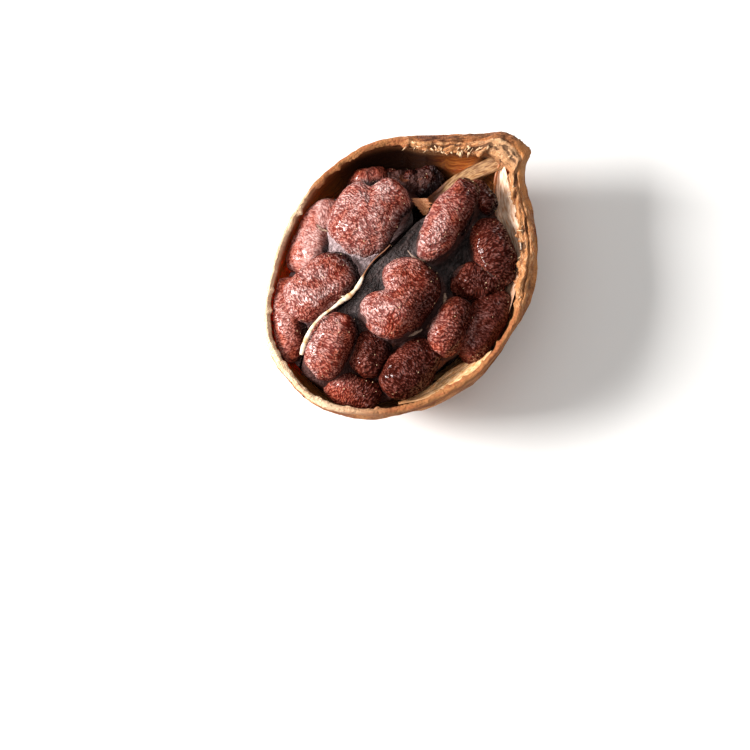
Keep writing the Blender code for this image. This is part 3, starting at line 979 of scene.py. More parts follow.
    def relief(self, grid: Array, share: Array, grain: Array, thick: Array) -> Array:
        """Height of the fine relief over the whole husk, in millimetres.

        Args:
            grid: The smooth surface.
            share: Where a point is: below 0 on the skin, 0 to 1 over the torn edge, 2 inside.
            grain: Millimetres across the fibres.
            thick: How thick the torn edge is there, from 0 to 1.

        Returns:
            Heights outwards, in the grid's layout.
        """
        spots = grid.reshape(-1, 3)
        x, y, z = spots.T
        grain = grain.reshape(-1)
        share = share.reshape(-1)
        skin, face = ease(share, 0.3, 0.0), ease(share, 0.2, 0.45) * ease(share, 1.6, 1.1)
        turn = np.arctan2(y, np.maximum(-z, -0.2))
        wander = 0.9 * ripples(spots, 3.2, 21)
        ridges = (0.5 + 0.5 * np.cos(turn * self.ridge_count + wander * 3)) ** 2
        broken = ease(ripples(spots, 2.3, 22), -0.35, 0.35)
        along = np.column_stack([x * 0.3, y * 0.3, grain])
        strands = ripples(along, 0.16, 23)
        pebbles = waves(spots, *self.pebbles)
        rise = skin * (self.ridge_rise * (ridges * broken - 0.35) + pebbles + 0.012 * strands)
        rough = 0.25 + thick.reshape(-1)
        ropes = ripples(np.column_stack([x * 0.16, y * 0.16, grain]), 0.26, 27)
        torn = self.strand_rise * strands + self.rope_rise * ropes + waves(spots, *self.crumbs)
        rise += face * rough * torn
        rise += (1 - skin - face) * 0.014 * strands
        return (rise * ease(z, -6.2, -5.2)).reshape(grid.shape[:2])

    def build(self, material: bpy.types.Material) -> bpy.types.Object:
        """Makes the husk.

        Args:
            material: Its finish.

        Returns:
            The piece.
        """
        angles = np.linspace(-math.pi, math.pi, self.around, endpoint=False)
        parts = [self.skin(angles), self.edge(angles), self.wall(angles)]
        grid = np.concatenate([part[0] for part in parts])
        fields = {key: np.concatenate([part[1][key] for part in parts]) for key in parts[0][1]}
        steps = np.linalg.norm(np.diff(grid, axis=0, prepend=grid[:1]), axis=2)
        arc = np.cumsum(steps, axis=0)
        arc = arc - arc[self.outer_rings - 1]
        turn = np.arctan2(np.abs(grid[..., 1]), np.maximum(-grid[..., 2], 0)) - math.pi / 2
        grain = np.where(fields["share"] < 0, turn * self.skin_span, arc)
        rise = self.relief(grid, fields["share"], grain, fields["thick"])
        grid = grid + grid_normals(grid) * rise[..., None]
        grid[..., 2] = np.maximum(grid[..., 2], -GIRTH_HEIGHT)
        shown = {"torn": fields["torn"], "inside": fields["inside"], "grain": grain,
                 "crest": np.clip(0.5 + rise / self.crest_height, 0, 1), "thick": fields["thick"]}
        return close_grid("husk_wall", grid, shown, material)

    def keep_inside(self, points: Array, gap: float) -> Array:
        """Draws points that would meet the wall straight in towards the middle of the hollow.

        Args:
            points: Rows of x, y, z.
            gap: How far they stay off the wall.

        Returns:
            The rows, moved where they had to be.
        """
        middle = np.array(self.hollow_middle)

        def is_clear(where: Array) -> Array:
            """Whether each row lies off the wall.

            Args:
                where: Rows of x, y, z.

            Returns:
                One answer for each row.
            """
            up, down = self.inner.widths(where[:, 0])
            width = np.where(where[:, 1] >= 0, up, down) - gap
            depth = self.inner.depth(where[:, 0]) - gap
            room = self.least_room
            held = (width > room) & (depth > room) & (np.abs(where[:, 1]) < width)
            share = np.clip(where[:, 1] / np.maximum(width, room), -1, 1)
            return held & (where[:, 2] > -np.maximum(depth, 0) * np.sqrt(1 - share ** 2))

        low, high = np.zeros(len(points)), np.ones(len(points))
        clear = is_clear(points)
        for _ in range(self.halvings):
            half = (low + high) / 2
            good = is_clear(middle + (points - middle) * half[:, None])
            low = np.where(good, half, low)
            high = np.where(good, high, half)
        return np.where(clear[:, None], points, middle + (points - middle) * low[:, None])


@dataclass(frozen=True)
class Seed:
    """One seed in its dried aril: a squarish ellipsoid, with a notch where it curls."""

    name: str
    cluster: Cluster
    middle: tuple[float, float, float]
    half: tuple[float, float, float]
    turn: float
    tilt: float = 0.0
    notch: tuple[float, float, float] = (0.0, 0.0, 0.30)   # direction in degrees, depth, width
    dust_and_lighting: float = 0.5                        # how much pale bloom it carries; low values also paint it in shade
    cover: float = 0.0                       # millimetres of pulp film left over it
    shrivel: float = 1.0                     # depth of its dents
    grain: float = 1.0                       # depth of its wrinkles
    squareness: float = 2.5
    steepness: float = 2.6                   # how steeply the film falls off its flank
    # Direction towards the key light: painted sheen on that side, painted shade on the other.
    lit_side: tuple[float, float, float] = (-0.64, 0.77, 0.0)
    warp: float = 0.22                       # how far the wrinkles' pattern is drawn about
    wrinkle_rise: float = 0.034
    dent_rise: float = 0.115
    husk_gap: float = 0.22

    def radius(self, directions: Array) -> Array:
        """Length factor of the surface in each unit direction, before its half sizes.

        Args:
            directions: Rows of x, y, z.

        Returns:
            One factor for each row.
        """
        power = self.squareness
        reach = np.sum(np.abs(directions) ** power, axis=1) ** (-1 / power)
        notch_at, depth, width = self.notch
        off = np.arctan2(directions[:, 1], directions[:, 0]) - math.radians(notch_at)
        off = (off + math.pi) % (2 * math.pi) - math.pi
        flat = np.hypot(directions[:, 0], directions[:, 1])
        return reach * (1 - depth * flat * np.exp(-(off / width) ** 2))

    def crown(self, places: Array) -> Array:
        """Height of the seed's upper side, falling steeply outside its outline.

        Args:
            places: Rows of x and y.

        Returns:
            Heights in millimetres.
        """
        angle = math.radians(self.turn)
        away = places - np.array(self.middle[:2])
        x = (away[:, 0] * math.cos(angle) + away[:, 1] * math.sin(angle)) / self.half[0]
        y = (away[:, 1] * math.cos(angle) - away[:, 0] * math.sin(angle)) / self.half[1]
        length = np.maximum(np.hypot(x, y), 1e-6)
        share = length / self.radius(np.column_stack([x / length, y / length, np.zeros_like(x)]))
        power = self.squareness
        high = self.half[2] * np.maximum(0, 1 - share ** power) ** (1 / power)
        size = math.sqrt(self.half[0] * self.half[1])
        return self.middle[2] + high - self.steepness * np.maximum(0, share - 1) * size

    def build(self, husk: Husk, pulp: "Pulp", pattern: int,
              material: bpy.types.Material) -> bpy.types.Object:
        """Makes the seed with its wrinkles.

        Args:
            husk: The husk that it lies in.
            pulp: The pulp that it is sunk in.
            pattern: Picks its wrinkles.
            material: Its finish.

        Returns:
            The piece.
        """
        directions, faces = make_ball(round(14 + 22 * math.sqrt(self.half[0] * self.half[1])))
        local = directions * self.radius(directions)[:, None] * np.array(self.half)
        warp = np.column_stack([ripples(local, 1.1, pattern + k) for k in (1, 2, 3)]) * self.warp
        weave = local + warp
        drawn = weave / np.array((1.0, 1.5, 1.5))
        wave = waves(drawn, (0.6, 0.27, pattern), (0.4, 0.14, pattern + 5))
        dents = waves(local, (1.0, 0.95, pattern + 6), (0.5, 0.45, pattern + 7), (1.5, 1.9, pattern + 8))
        lift = self.grain * self.wrinkle_rise * wave + self.dent_rise * self.shrivel * dents
        local = local + directions * lift[:, None]
        turn = np.array(Matrix.Rotation(math.radians(self.turn), 3, "Z")
                        @ Matrix.Rotation(math.radians(self.tilt), 3, "Y"))
        points = husk.keep_inside(local @ turn.T + np.array(self.middle), self.husk_gap)
        over = points[:, 2] - pulp.level(points[:, 0], points[:, 1])
        # Painted light: the side that faces the key light gets more bloom as painted sheen, and the side
        # that faces away gets a lower rise, which paints shade up that flank.
        lean = directions @ turn.T @ np.array(self.lit_side)
        away = 0.85 * np.minimum(lean, 0) + 0.4 * np.maximum(lean, 0)
        rise = over + 0.28 * ripples(points, 0.7, pattern + 9) - 2.5 * self.cover + away
        patchy = (0.12 + 0.3 * self.dust_and_lighting) * ripples(points, 1.3, pattern + 10)
        dust_and_lighting = np.clip(self.dust_and_lighting * (1 + 0.95 * lean) + 0.12 * lean + patchy, 0, 1)
        fields = {"crest": np.clip(0.5 + 0.75 * wave, 0, 1), "dust_and_lighting": dust_and_lighting, "rise": rise,
                  "weave": weave + pattern, "depth": np.full(len(points), self.grain)}
        return make_piece(self.name, points, faces, fields, material)


U, L = Cluster.UPPER, Cluster.LOWER
# Each seed's dust share is partly its bloom and partly painted light: seeds that lie in shade get low
# values, and its side towards the light sets where its painted sheen falls.
SEEDS = (
    Seed("seed_heart", U, (0.46, 3.34, 0.20), (2.34, 1.96, 1.50), 8, 0, (34, 0.27, 0.30), 1.0,
         lit_side=(-0.30, 0.25, 0.0)),
    Seed("seed_dusty", U, (-1.82, 4.88, -0.75), (2.25, 1.25, 1.15), 12, 4, dust_and_lighting=0.95, grain=0.5),
    Seed("seed_bean", U, (-3.90, 2.86, 0.10), (2.20, 1.46, 1.35), -11, dust_and_lighting=0.85,
         lit_side=(-0.95, 0.05, 0.0)),
    Seed("seed_left_rim", U, (-6.23, 3.15, -0.60), (2.20, 1.02, 1.10), 47, dust_and_lighting=0.4, grain=0.7),
    Seed("seed_shrunk_red", U, (2.24, 4.84, -1.50), (1.20, 0.80, 0.85), -30, dust_and_lighting=0.25, cover=0.02,
         shrivel=2.0, grain=0.6),
    Seed("seed_shrunk_grey", U, (3.30, 3.78, -1.90), (1.15, 0.95, 0.95), -50, dust_and_lighting=0.15, cover=0.20,
         shrivel=2.6),
    Seed("seed_shrunk_dark", U, (4.42, 2.72, -2.00), (0.95, 0.80, 0.85), -20, 0, (200, 0.20, 0.40), 0.1,
         cover=0.20, shrivel=2.4),
    Seed("seed_low_left", L, (-6.01, 0.47, 0.25), (1.80, 1.18, 1.20), 14, dust_and_lighting=0.5),
    Seed("seed_small_dark", L, (-4.87, -1.20, -0.30), (1.22, 0.98, 1.00), 10, dust_and_lighting=0.08, cover=0.07),
    Seed("seed_kidney", L, (-1.86, -0.71, 0.66), (2.25, 1.68, 1.56), 2, 0, (98, 0.50, 0.27), 0.46,
         lit_side=(-0.70, 0.95, 0.0)),
    Seed("seed_long", L, (2.87, 0.07, 0.72), (2.45, 1.00, 1.10), 9, dust_and_lighting=0.54,
         lit_side=(-1.10, 0.45, 0.0)),
    Seed("seed_tucked", L, (5.33, -0.42, -0.50), (1.05, 0.56, 0.80), 70, dust_and_lighting=0.1),
    Seed("seed_right", L, (3.35, -2.70, -0.40), (1.85, 1.16, 1.15), 54, dust_and_lighting=0.08, cover=0.03),
    Seed("seed_coated", L, (1.73, -3.00, -0.50), (1.35, 0.94, 1.05), -42, dust_and_lighting=0.04, cover=0.09,
         shrivel=2.2),
    Seed("seed_lower_mid", L, (-1.14, -3.52, -0.05), (1.62, 0.98, 1.15), 14, dust_and_lighting=0.25),
    Seed("seed_low_edge", L, (0.05, -4.78, -0.90), (2.10, 1.10, 1.25), 10, dust_and_lighting=0.05, grain=0.7),
    Seed("seed_lower_left", L, (-4.24, -3.32, -0.50), (1.76, 1.15, 1.20), -4, dust_and_lighting=0.02),
    Seed("seed_far_left", L, (-6.90, -1.72, -1.10), (1.50, 0.98, 1.10), 108, dust_and_lighting=0.2),
)


@dataclass
class Pulp:
    """Dried pulp of one locule: a film draped between its seeds and up their flanks."""

    cluster: Cluster
    seeds: list[Seed]
    top: float = 0.70
    fall: float = 2.3
    ridge: float = 1.3
    reach: tuple[float, float] = (8.4, 4.7)
    sink: float = 2.0
    floor: float = -5.2
    around: int = 430
    rings: int = 92
    fillet: float = 0.55                     # height over which the film bends up a flank
    under: float = 0.07                      # how far it stays below a seed's bare top
    septum: tuple = ((-7.9, 1.05), (-7.4, 1.28), (-6.7, 1.60), (-6.0, 1.75), (-5.2, 1.76), (-4.4, 1.58),
                     (-3.4, 1.34), (-2.5, 1.42), (-1.6, 1.58), (-0.8, 1.52), (0.3, 1.40), (1.8, 1.36))
    upper_side: tuple = ((2.5, 2.15), (3.4, 2.36), (4.4, 2.38), (4.9, 2.8), (4.2, 3.7), (2.8, 4.7),
                         (1.0, 5.4), (-1.2, 5.6), (-3.4, 5.1), (-5.2, 4.4), (-6.9, 3.2), (-7.7, 1.8))
    lower_side: tuple = ((-8.0, 0.8), (-7.8, -0.5), (-7.2, -2.2), (-6.0, -3.6), (-4.4, -4.3),
                         (-2.6, -4.5), (-0.9, -5.1), (0.8, -5.2), (2.2, -4.1), (3.7, -3.4),
                         (4.8, -2.2), (5.2, -0.9), (5.2, 0.0), (4.2, 0.60), (3.0, 0.86), (2.3, 1.14))
    gap: float = 0.10                        # between the two clusters
    middles: dict = field(default_factory=lambda: {Cluster.UPPER: (-0.9, 3.3), Cluster.LOWER: (-1.2, -1.4)})
    paleness: dict = field(default_factory=lambda: {Cluster.UPPER: 0.9, Cluster.LOWER: 0.12})
    lowest: float = -9.0                     # below everything, to start a search for the highest seed
    fold_rise: float = 0.045
    least_depth: float = 0.8                 # from the pulp's level down to its underside

    def outline(self) -> Array:
        """The pulp's outline seen from above.

        Returns:
            Rows of x and y, anticlockwise.
        """
        septum = smooth_curve(self.septum, 3, closed=False)
        shift = np.array((0, self.gap))
        if self.cluster is Cluster.UPPER:
            side = smooth_curve(self.upper_side, 2, closed=False)
            return np.vstack([side, septum[1:] + shift])
        side = smooth_curve(self.lower_side, 2, closed=False)
        return np.vstack([side, septum[::-1][:-1] - shift])

    def level(self, x: Array, y: Array) -> Array:
        """Height of the pulp between the seeds, before the film climbs them.

        Args:
            x: Places along the fruit.
            y: Places across it.

        Returns:
            Heights in millimetres.
        """
        drop = (x / self.reach[0]) ** 2 + ((y - self.ridge) / self.reach[1]) ** 2
        sink = np.clip((x - 2.0) / 1.3, 0, 1) * np.clip((y - 1.2) / 0.6, 0, 1)
        return self.top - self.fall * drop - self.sink * sink

    def drape(self, places: Array) -> tuple[Array, Array, Array]:
        """The film over and between the seeds.

        Args:
            places: Rows of x and y.

        Returns:
            Heights, how thinly it lies over a seed from 0 to 1, and its share of pale dust, which carries
            the painted light of the seeds' dust shares.
        """
        level = self.level(places[:, 0], places[:, 1])
        film, highest = level.copy(), np.full(len(places), self.lowest)
        cover, dust_and_lighting = np.zeros(len(places)), np.zeros(len(places))
        for seed in self.seeds:
            crown = seed.crown(places)
            near = np.maximum(self.fillet - np.abs(film - crown), 0) / self.fillet
            film = np.maximum(film, crown) + near ** 2 * self.fillet / 4
            cover = np.where(crown > highest, seed.cover, cover)
            dust_and_lighting = np.maximum(dust_and_lighting, seed.dust_and_lighting * ease(crown - level, -2.2, -0.3))
            highest = np.maximum(highest, crown)
        over = ease(highest - level, 0.0, 0.55)
        patches = ripples(np.column_stack([places, np.zeros(len(places))]), 0.5, 33)
        hidden = 0.22 * ease(highest - film, -0.3, 0.0) * ease(highest - level, 0.3, 0.9) * (cover < 0.1)
        return film + over * (cover * (1.0 + 1.2 * patches) - self.under) - hidden, over, dust_and_lighting

    def build(self, husk: Husk, material: bpy.types.Material) -> bpy.types.Object:
        """Makes the pulp.

        Args:
            husk: The husk that it lies in.
            material: Its finish.

        Returns:
            The piece.
        """
        loop = self.outline()
        loop = even_rows(np.vstack([loop, loop[:1]]), self.around, closed=True)
        middle = np.array(self.middles[self.cluster])
        shares = np.linspace(0.02, 1, self.rings)[:, None, None]
        places = (middle + (loop - middle) * shares).reshape(-1, 2)
        x, y = places.T
        high, over, dust_and_lighting = self.drape(places)
        flat = np.column_stack([x, y, high])
        along = np.column_stack([x * 0.25, y, high * 0])
        groove = ease(np.abs(y - self.ridge), 1.1, 0.4)
        folds = (1 - groove) * ripples(flat, 0.42, 31) + groove * ripples(along, 0.22, 32)
        top = np.column_stack([x, y, high + self.fold_rise * folds * (1 - 0.4 * over)])
        low = np.minimum(self.floor * (1 - 0.55 * shares ** 2).repeat(self.around, axis=1).reshape(-1),
                         self.level(x, y) - self.least_depth)
        bottom = np.column_stack([x, y, low]).reshape(self.rings, self.around, 3)[::-6]
        shape = (self.rings, self.around)
        grid = np.concatenate([bottom[::-1], top.reshape(*shape, 3)[::-1]])
        points = husk.keep_inside(grid.reshape(-1, 3), 0.25)
        ends = np.array([points[:self.around].mean(axis=0), points[-self.around:].mean(axis=0)])
        pale = dust_and_lighting * self.paleness[self.cluster] * ease(x, 1.5, -0.5)
        shown = {"crest": np.clip(0.5 + folds, 0, 1), "groove": groove, "thin": over, "dust_and_lighting": pale}
        fields = {}
        for key, values in shown.items():
            whole = np.concatenate([np.zeros(bottom.shape[:2]), values.reshape(shape)[::-1]])
            fields[key] = np.append(whole.reshape(-1), (0.0, values[0]))
        faces = ring_faces(len(grid), self.around, len(points), len(points) + 1)
        name = "pulp_" + self.cluster.value
        return make_piece(name, np.vstack([points, ends]), faces, fields, material)


@dataclass
class Strap:
    """Torn strap of the septum, broad where it leaves the beak, with a hollowed upper face."""

    path: tuple = (                          # x, y, height, half-width and half-depth
        (7.60, 0.04, -0.10, 0.40, 0.20), (7.05, 0.28, -0.24, 0.42, 0.26), (6.50, 0.60, -0.42, 0.42, 0.32),
        (5.82, 0.98, -0.62, 0.40, 0.40), (5.00, 1.30, -0.85, 0.38, 0.46), (4.32, 1.44, -1.02, 0.36, 0.46),
        (3.70, 1.55, -1.00, 0.34, 0.46), (3.30, 1.60, -0.60, 0.30, 0.40), (3.10, 1.64, -0.05, 0.26, 0.30),
    )
    steps: int = 120
    around: int = 44
    roundness: tuple[float, float] = (0.7, 0.8)   # powers of its section: 1 is an ellipse, 0 a box
    hollow: float = 0.6                      # how far its upper face is hollowed
    strand_rise: float = 0.03

    def build(self, material: bpy.types.Material) -> bpy.types.Object:
        """Makes the strap.

        Args:
            material: Its finish.

        Returns:
            The piece.
        """
        path = even_curve(self.path, self.steps)
        ahead = np.gradient(path[:, :3], axis=0)
        ahead /= np.linalg.norm(ahead, axis=1, keepdims=True)
        side = np.cross(ahead, (0.0, 0.0, 1.0))
        side /= np.linalg.norm(side, axis=1, keepdims=True)
        up = np.cross(side, ahead)
        turn = np.linspace(0, 2 * math.pi, self.around, endpoint=False)[::-1]
        flat, tall = np.cos(turn), np.sin(turn)
        flat = np.sign(flat) * np.abs(flat) ** self.roundness[0]
        tall = np.sign(tall) * np.abs(tall) ** self.roundness[1]
        tall = tall - self.hollow * np.maximum(tall, 0) * (1 - flat ** 2)
        grid = (path[:, None, :3] + side[:, None] * (path[:, 3][:, None] * flat)[..., None]
                + up[:, None] * (path[:, 4][:, None] * tall)[..., None])
        run = np.broadcast_to(np.linspace(0, 6, self.steps)[:, None], grid.shape[:2])
        across = np.broadcast_to((flat * 0.6 + tall * 0.3)[None], grid.shape[:2])
        strands = np.column_stack([run.reshape(-1) * 0.3, across.reshape(-1), across.reshape(-1) * 0])
        wave = waves(strands, (1.0, 0.14, 41), (0.8, 0.5, 42))
        grid = grid + grid_normals(grid) * (self.strand_rise * wave.reshape(run.shape))[..., None]
        edge = ease(np.abs(flat)[None] + 1.1 * ease(run, 3.0, 4.8) - 0.3 * ease(run, 1.5, 0), 0.6, 1.15)
        fields = {"run": run, "across": across, "edge": edge}
        return close_grid("septum_strap_skin", grid, fields, material)


@dataclass
class Scrap:
    """A thin scrap of dried membrane or film, with ragged sides."""

    name: str
    path: tuple                              # x, y, height and half-width, along the scrap
    side: tuple[float, float, float]         # direction across the scrap
    edge: float = 0.5                        # how far its sides have browned
    cup: float = 0.25                        # hollow across it, for its width
    thickness: float = 0.045
    steps: int = 60
    across: int = 14

    def build(self, pattern: int, material: bpy.types.Material) -> bpy.types.Object:
        """Makes the scrap.

        Args:
            pattern: Picks its ragged sides.
            material: Its finish.

        Returns:
            The piece.
        """
        path = even_curve(self.path, self.steps)
        share = np.linspace(-1, 1, self.across)
        side = np.array(self.side) / np.linalg.norm(self.side)
        ahead = np.gradient(path[:, :3], axis=0)
        lift = np.cross(ahead, side)
        lift /= np.linalg.norm(lift, axis=1, keepdims=True)
        run = np.linspace(0, 3, self.steps)
        mark = np.column_stack([run * 2, run * 0, run * 0])
        sides = [path[:, 3] * (1 + 0.5 * ripples(mark, 0.45, pattern + k)
                               + 0.3 * ripples(mark, 0.16, pattern + k + 2)) for k in (0, 1)]
        width = np.where(share[None] < 0, sides[0][:, None], sides[1][:, None]) * share[None]
        hollow = self.cup * path[:, 3][:, None] * (share[None] ** 2 - 0.4)
        grid = path[:, None, :3] + side * width[..., None] + lift[:, None] * hollow[..., None]
        spots = grid.reshape(-1, 3)
        wave = (ripples(spots, 0.3, pattern + 5) * 0.05).reshape(width.shape)
        grid = grid + lift[:, None] * wave[..., None]
        points, faces = make_shell(grid, self.thickness)
        edge = np.clip(self.edge + 0.5 * (np.abs(share) - 0.5), 0, 1)
        double = np.concatenate([share, share[::-1]])
        fields = {"run": np.repeat(run, 2 * self.across),
                  "across": np.tile(double, self.steps) * np.repeat(path[:, 3], 2 * self.across) * 2,
                  "edge": np.tile(np.concatenate([edge, edge[::-1]]), self.steps)}
        return make_piece(self.name, points, faces, fields, material)


SCRAP = Scrap("septum_scrap", ((2.95, 1.92, 0.62, 0.48), (2.86, 1.70, 0.50, 0.44), (2.74, 1.48, 0.30, 0.30),
                               (2.55, 1.26, 0.02, 0.10)), (0.62, -0.78, 0.0), 0.2)
FLAKES = (                                   # torn bits of film between the seeds, each with its node
    (Scrap("flake_under_kidney", ((-3.34, -1.96, 0.36, 0.05), (-2.86, -2.37, 0.38, 0.09),
                                  (-2.33, -2.60, 0.34, 0.04)), (0.6, 0.7, 0.3), 0.3), "seed_cluster_lower"),
    (Scrap("flake_middle", ((-0.62, -2.62, 0.30, 0.04), (-0.35, -2.46, 0.34, 0.10),
                            (-0.08, -2.26, 0.28, 0.04)), (0.6, -0.7, 0.3), 0.3), "seed_cluster_lower"),
    (Scrap("flake_long", ((0.32, 0.60, 0.86, 0.03), (0.22, 0.12, 0.92, 0.07), (0.45, -0.40, 0.92, 0.07),
                          (0.92, -0.78, 0.84, 0.03)), (0.9, 0.2, 0.3), 0.6), "seed_cluster_lower"),
    (Scrap("flake_coated", ((1.08, -3.38, -0.10, 0.04), (1.37, -3.86, -0.06, 0.09),
                            (1.62, -4.42, -0.24, 0.04)), (0.9, 0.4, 0.3), 0.2), "seed_cluster_lower"),
    (Scrap("flake_dusty", ((-1.56, 5.22, 0.42, 0.03), (-1.62, 4.86, 0.50, 0.06), (-1.46, 4.46, 0.54, 0.04)),
           (0.9, 0.2, -0.2), 0.2), "seed_cluster_upper"),
)


@dataclass
class Lining:
    """Inner membrane that hangs from the torn edge down to the seeds, by the beak unless told otherwise."""

    name: str = "lining_membrane"
    edge_side: tuple = ((7.36, -0.10, 0.15), (7.08, -0.53, 0.15), (6.24, -1.65, 0.15), (5.72, -2.32, 0.15),
                        (5.12, -3.02, 0.15), (4.04, -4.02, 0.15), (2.66, -4.84, 0.10), (1.28, -5.44, 0.0))
    seed_side: tuple = ((7.22, 0.00, -0.05), (6.78, -0.12, -0.30), (6.15, -0.51, -0.75),
                        (5.20, -1.25, -1.10), (4.75, -2.10, -1.25), (3.95, -3.30, -1.30),
                        (2.70, -4.05, -1.40), (1.20, -4.95, -1.50))
    steps: int = 150
    across: int = 30
    sag: float = 0.22
    thickness: float = 0.05

    def build(self, material: bpy.types.Material) -> bpy.types.Object:
        """Makes the membrane.

        Args:
            material: Its finish.

        Returns:
            The piece.
        """
        far, near = even_curve(self.edge_side, self.steps), even_curve(self.seed_side, self.steps)
        share = np.linspace(0, 1, self.across)[None, :, None]
        grid = far[:, None] * (1 - share) + near[:, None] * share
        grid[..., 2] -= self.sag * np.sin(math.pi * share[..., 0])
        run = np.linspace(0, 9, self.steps)
        across = share[0, :, 0] * 1.6
        spots = np.column_stack([np.repeat(run * 0.35, self.across), np.tile(across, self.steps),
                                 np.zeros(self.steps * self.across)])
        wave = waves(spots, (0.07, 0.28, 61), (0.10, 0.8, 62))
        grid[..., 2] += wave.reshape(self.steps, self.across)
        points, faces = make_shell(grid, self.thickness)
        seam = ease(share[0, :, 0], 0.78, 0.98)[None] * ease(run, 3.6, 2.4)[:, None]
        seam = np.maximum(seam, 0.55 * ease(run, 5.0, 8.0)[:, None])
        double = np.concatenate([across, across[::-1]])
        fields = {"run": np.repeat(run, 2 * self.across), "across": np.tile(double, self.steps),
                  "edge": np.concatenate([seam, seam[:, ::-1]], axis=1).reshape(-1)}
        return make_piece(self.name, points, faces, fields, material)


LOW_LINING = Lining(
    "lining_low",
    ((-0.80, -6.02, 0.02), (-1.80, -6.04, 0.02), (-2.80, -5.88, 0.02), (-3.60, -5.62, 0.00),
     (-4.40, -5.28, -0.05), (-5.20, -4.80, -0.15), (-6.00, -4.10, -0.40)),
    ((-1.30, -5.55, -0.90), (-2.00, -5.15, -1.30), (-2.80, -4.85, -1.40), (-3.50, -4.75, -1.30),
     (-4.20, -4.65, -1.10), (-5.00, -4.40, -0.90), (-5.90, -4.00, -0.65)),
)


class GrainShape(Enum):
    """What a scattered grain looks like."""

    SPLINTER = "splinter"
    CRUMB = "crumb"


def grow(source: bpy.types.Object, tree: bpy.types.NodeTree, values: dict[str, Any],
         name: str) -> bpy.types.Object:
    """Runs a geometry tree on an object and keeps its result as a plain mesh piece.

    Args:
        source: The object that the tree starts from, which is removed.
        tree: The tree.
        values: What its named inputs are set to.
        name: Name of the piece.

    Returns:
        The piece.
    """
    modifier = source.modifiers.new("growth", "NODES")
    modifier.node_group = tree
    for item in tree.interface.items_tree:
        if item.name in values:
            modifier[item.identifier] = values[item.name]
    graph = bpy.context.evaluated_depsgraph_get()
    mesh = bpy.data.meshes.new_from_object(source.evaluated_get(graph))
    source.modifiers.clear()
    bpy.data.objects.remove(source)
    return link(bpy.data.objects.new(name, mesh))


def new_tree(name: str, inputs: dict[str, str]) -> tuple[bpy.types.NodeTree, bpy.types.Node]:
    """Starts a geometry tree with a geometry input and named number inputs.

    Args:
        name: Name of the tree.
        inputs: Socket types by input name.

    Returns:
        The tree and its group input.
    """
    tree = bpy.data.node_groups.new(name, "GeometryNodeTree")
    tree.interface.new_socket("Geometry", in_out="INPUT", socket_type="NodeSocketGeometry")
    tree.interface.new_socket("Geometry", in_out="OUTPUT", socket_type="NodeSocketGeometry")
    for key, kind in inputs.items():
        tree.interface.new_socket(key, in_out="INPUT", socket_type=kind)
    return tree, add_node(tree, "NodeGroupInput")


def close_tree(tree: bpy.types.NodeTree, made: bpy.types.NodeSocket, material: bpy.types.Material) -> None:
    """Ends a geometry tree with real, smooth and dressed geometry.

    Args:
        tree: The tree.
        made: Output that carries its geometry.
        material: Finish of the whole.
    """
    real = add_node(tree, "GeometryNodeRealizeInstances", {0: made})
    smooth = add_node(tree, "GeometryNodeSetShadeSmooth", {0: real.outputs[0]})
    dressed = add_node(tree, "GeometryNodeSetMaterial", {0: smooth.outputs[0], "Material": material})
    add_node(tree, "NodeGroupOutput", {0: dressed.outputs[0]})


@dataclass
class Scatter:
    """Small grains of one shape, stood on points by geometry nodes."""

    shape: GrainShape
    length: float                            # millimetres
    thickness: float
    seed: int

    def tree(self, material: bpy.types.Material) -> bpy.types.NodeTree:
        """Builds the tree that stands a grain on each point.

        Args:
            material: Finish of the grains.

        Returns:
            The tree.
        """
        tree, start = new_tree("scatter_" + self.shape.value, {
            "Length": "NodeSocketFloat", "Thickness": "NodeSocketFloat", "Seed": "NodeSocketInt"})
        if self.shape is GrainShape.SPLINTER:
            grain = add_node(tree, "GeometryNodeMeshCone", {
                "Vertices": 5, "Radius Top": 0.0, "Radius Bottom": start.outputs["Thickness"],
                "Depth": start.outputs["Length"]})
        else:
            grain = add_node(tree, "GeometryNodeMeshIcoSphere",
                             {"Radius": start.outputs["Thickness"], "Subdivisions": 1})
        aim = add_node(tree, "GeometryNodeInputNamedAttribute", {"Name": "aim"}, data_type="FLOAT_VECTOR")
        turned = add_node(tree, "FunctionNodeAlignRotationToVector", {"Vector": aim.outputs[0]}, axis="Z")
        size = add_node(tree, "FunctionNodeRandomValue",
                        {0: (0.35, 0.35, 0.4), 1: (1.2, 1.2, 1.3), "Seed": start.outputs["Seed"]},
                        data_type="FLOAT_VECTOR")
        stood = add_node(tree, "GeometryNodeInstanceOnPoints", {
            "Points": start.outputs["Geometry"], "Instance": grain.outputs["Mesh"],
            "Rotation": turned.outputs[0], "Scale": size.outputs[0]})
        close_tree(tree, stood.outputs[0], material)
        return tree

    def build(self, name: str, points: Array, aims: Array,
              material: bpy.types.Material) -> bpy.types.Object:
        """Stands the grains on points.

        Args:
            name: Name of the piece.
            points: Rows of x, y, z in plan millimetres.
            aims: Direction of each grain.
            material: Their finish.

        Returns:
            The piece.
        """
        bed = make_piece(name + "_bed", points, [], {"aim": aims}, material)
        values = {"Length": self.length * MM, "Thickness": self.thickness * MM, "Seed": self.seed}
        return grow(bed, self.tree(material), values, name)


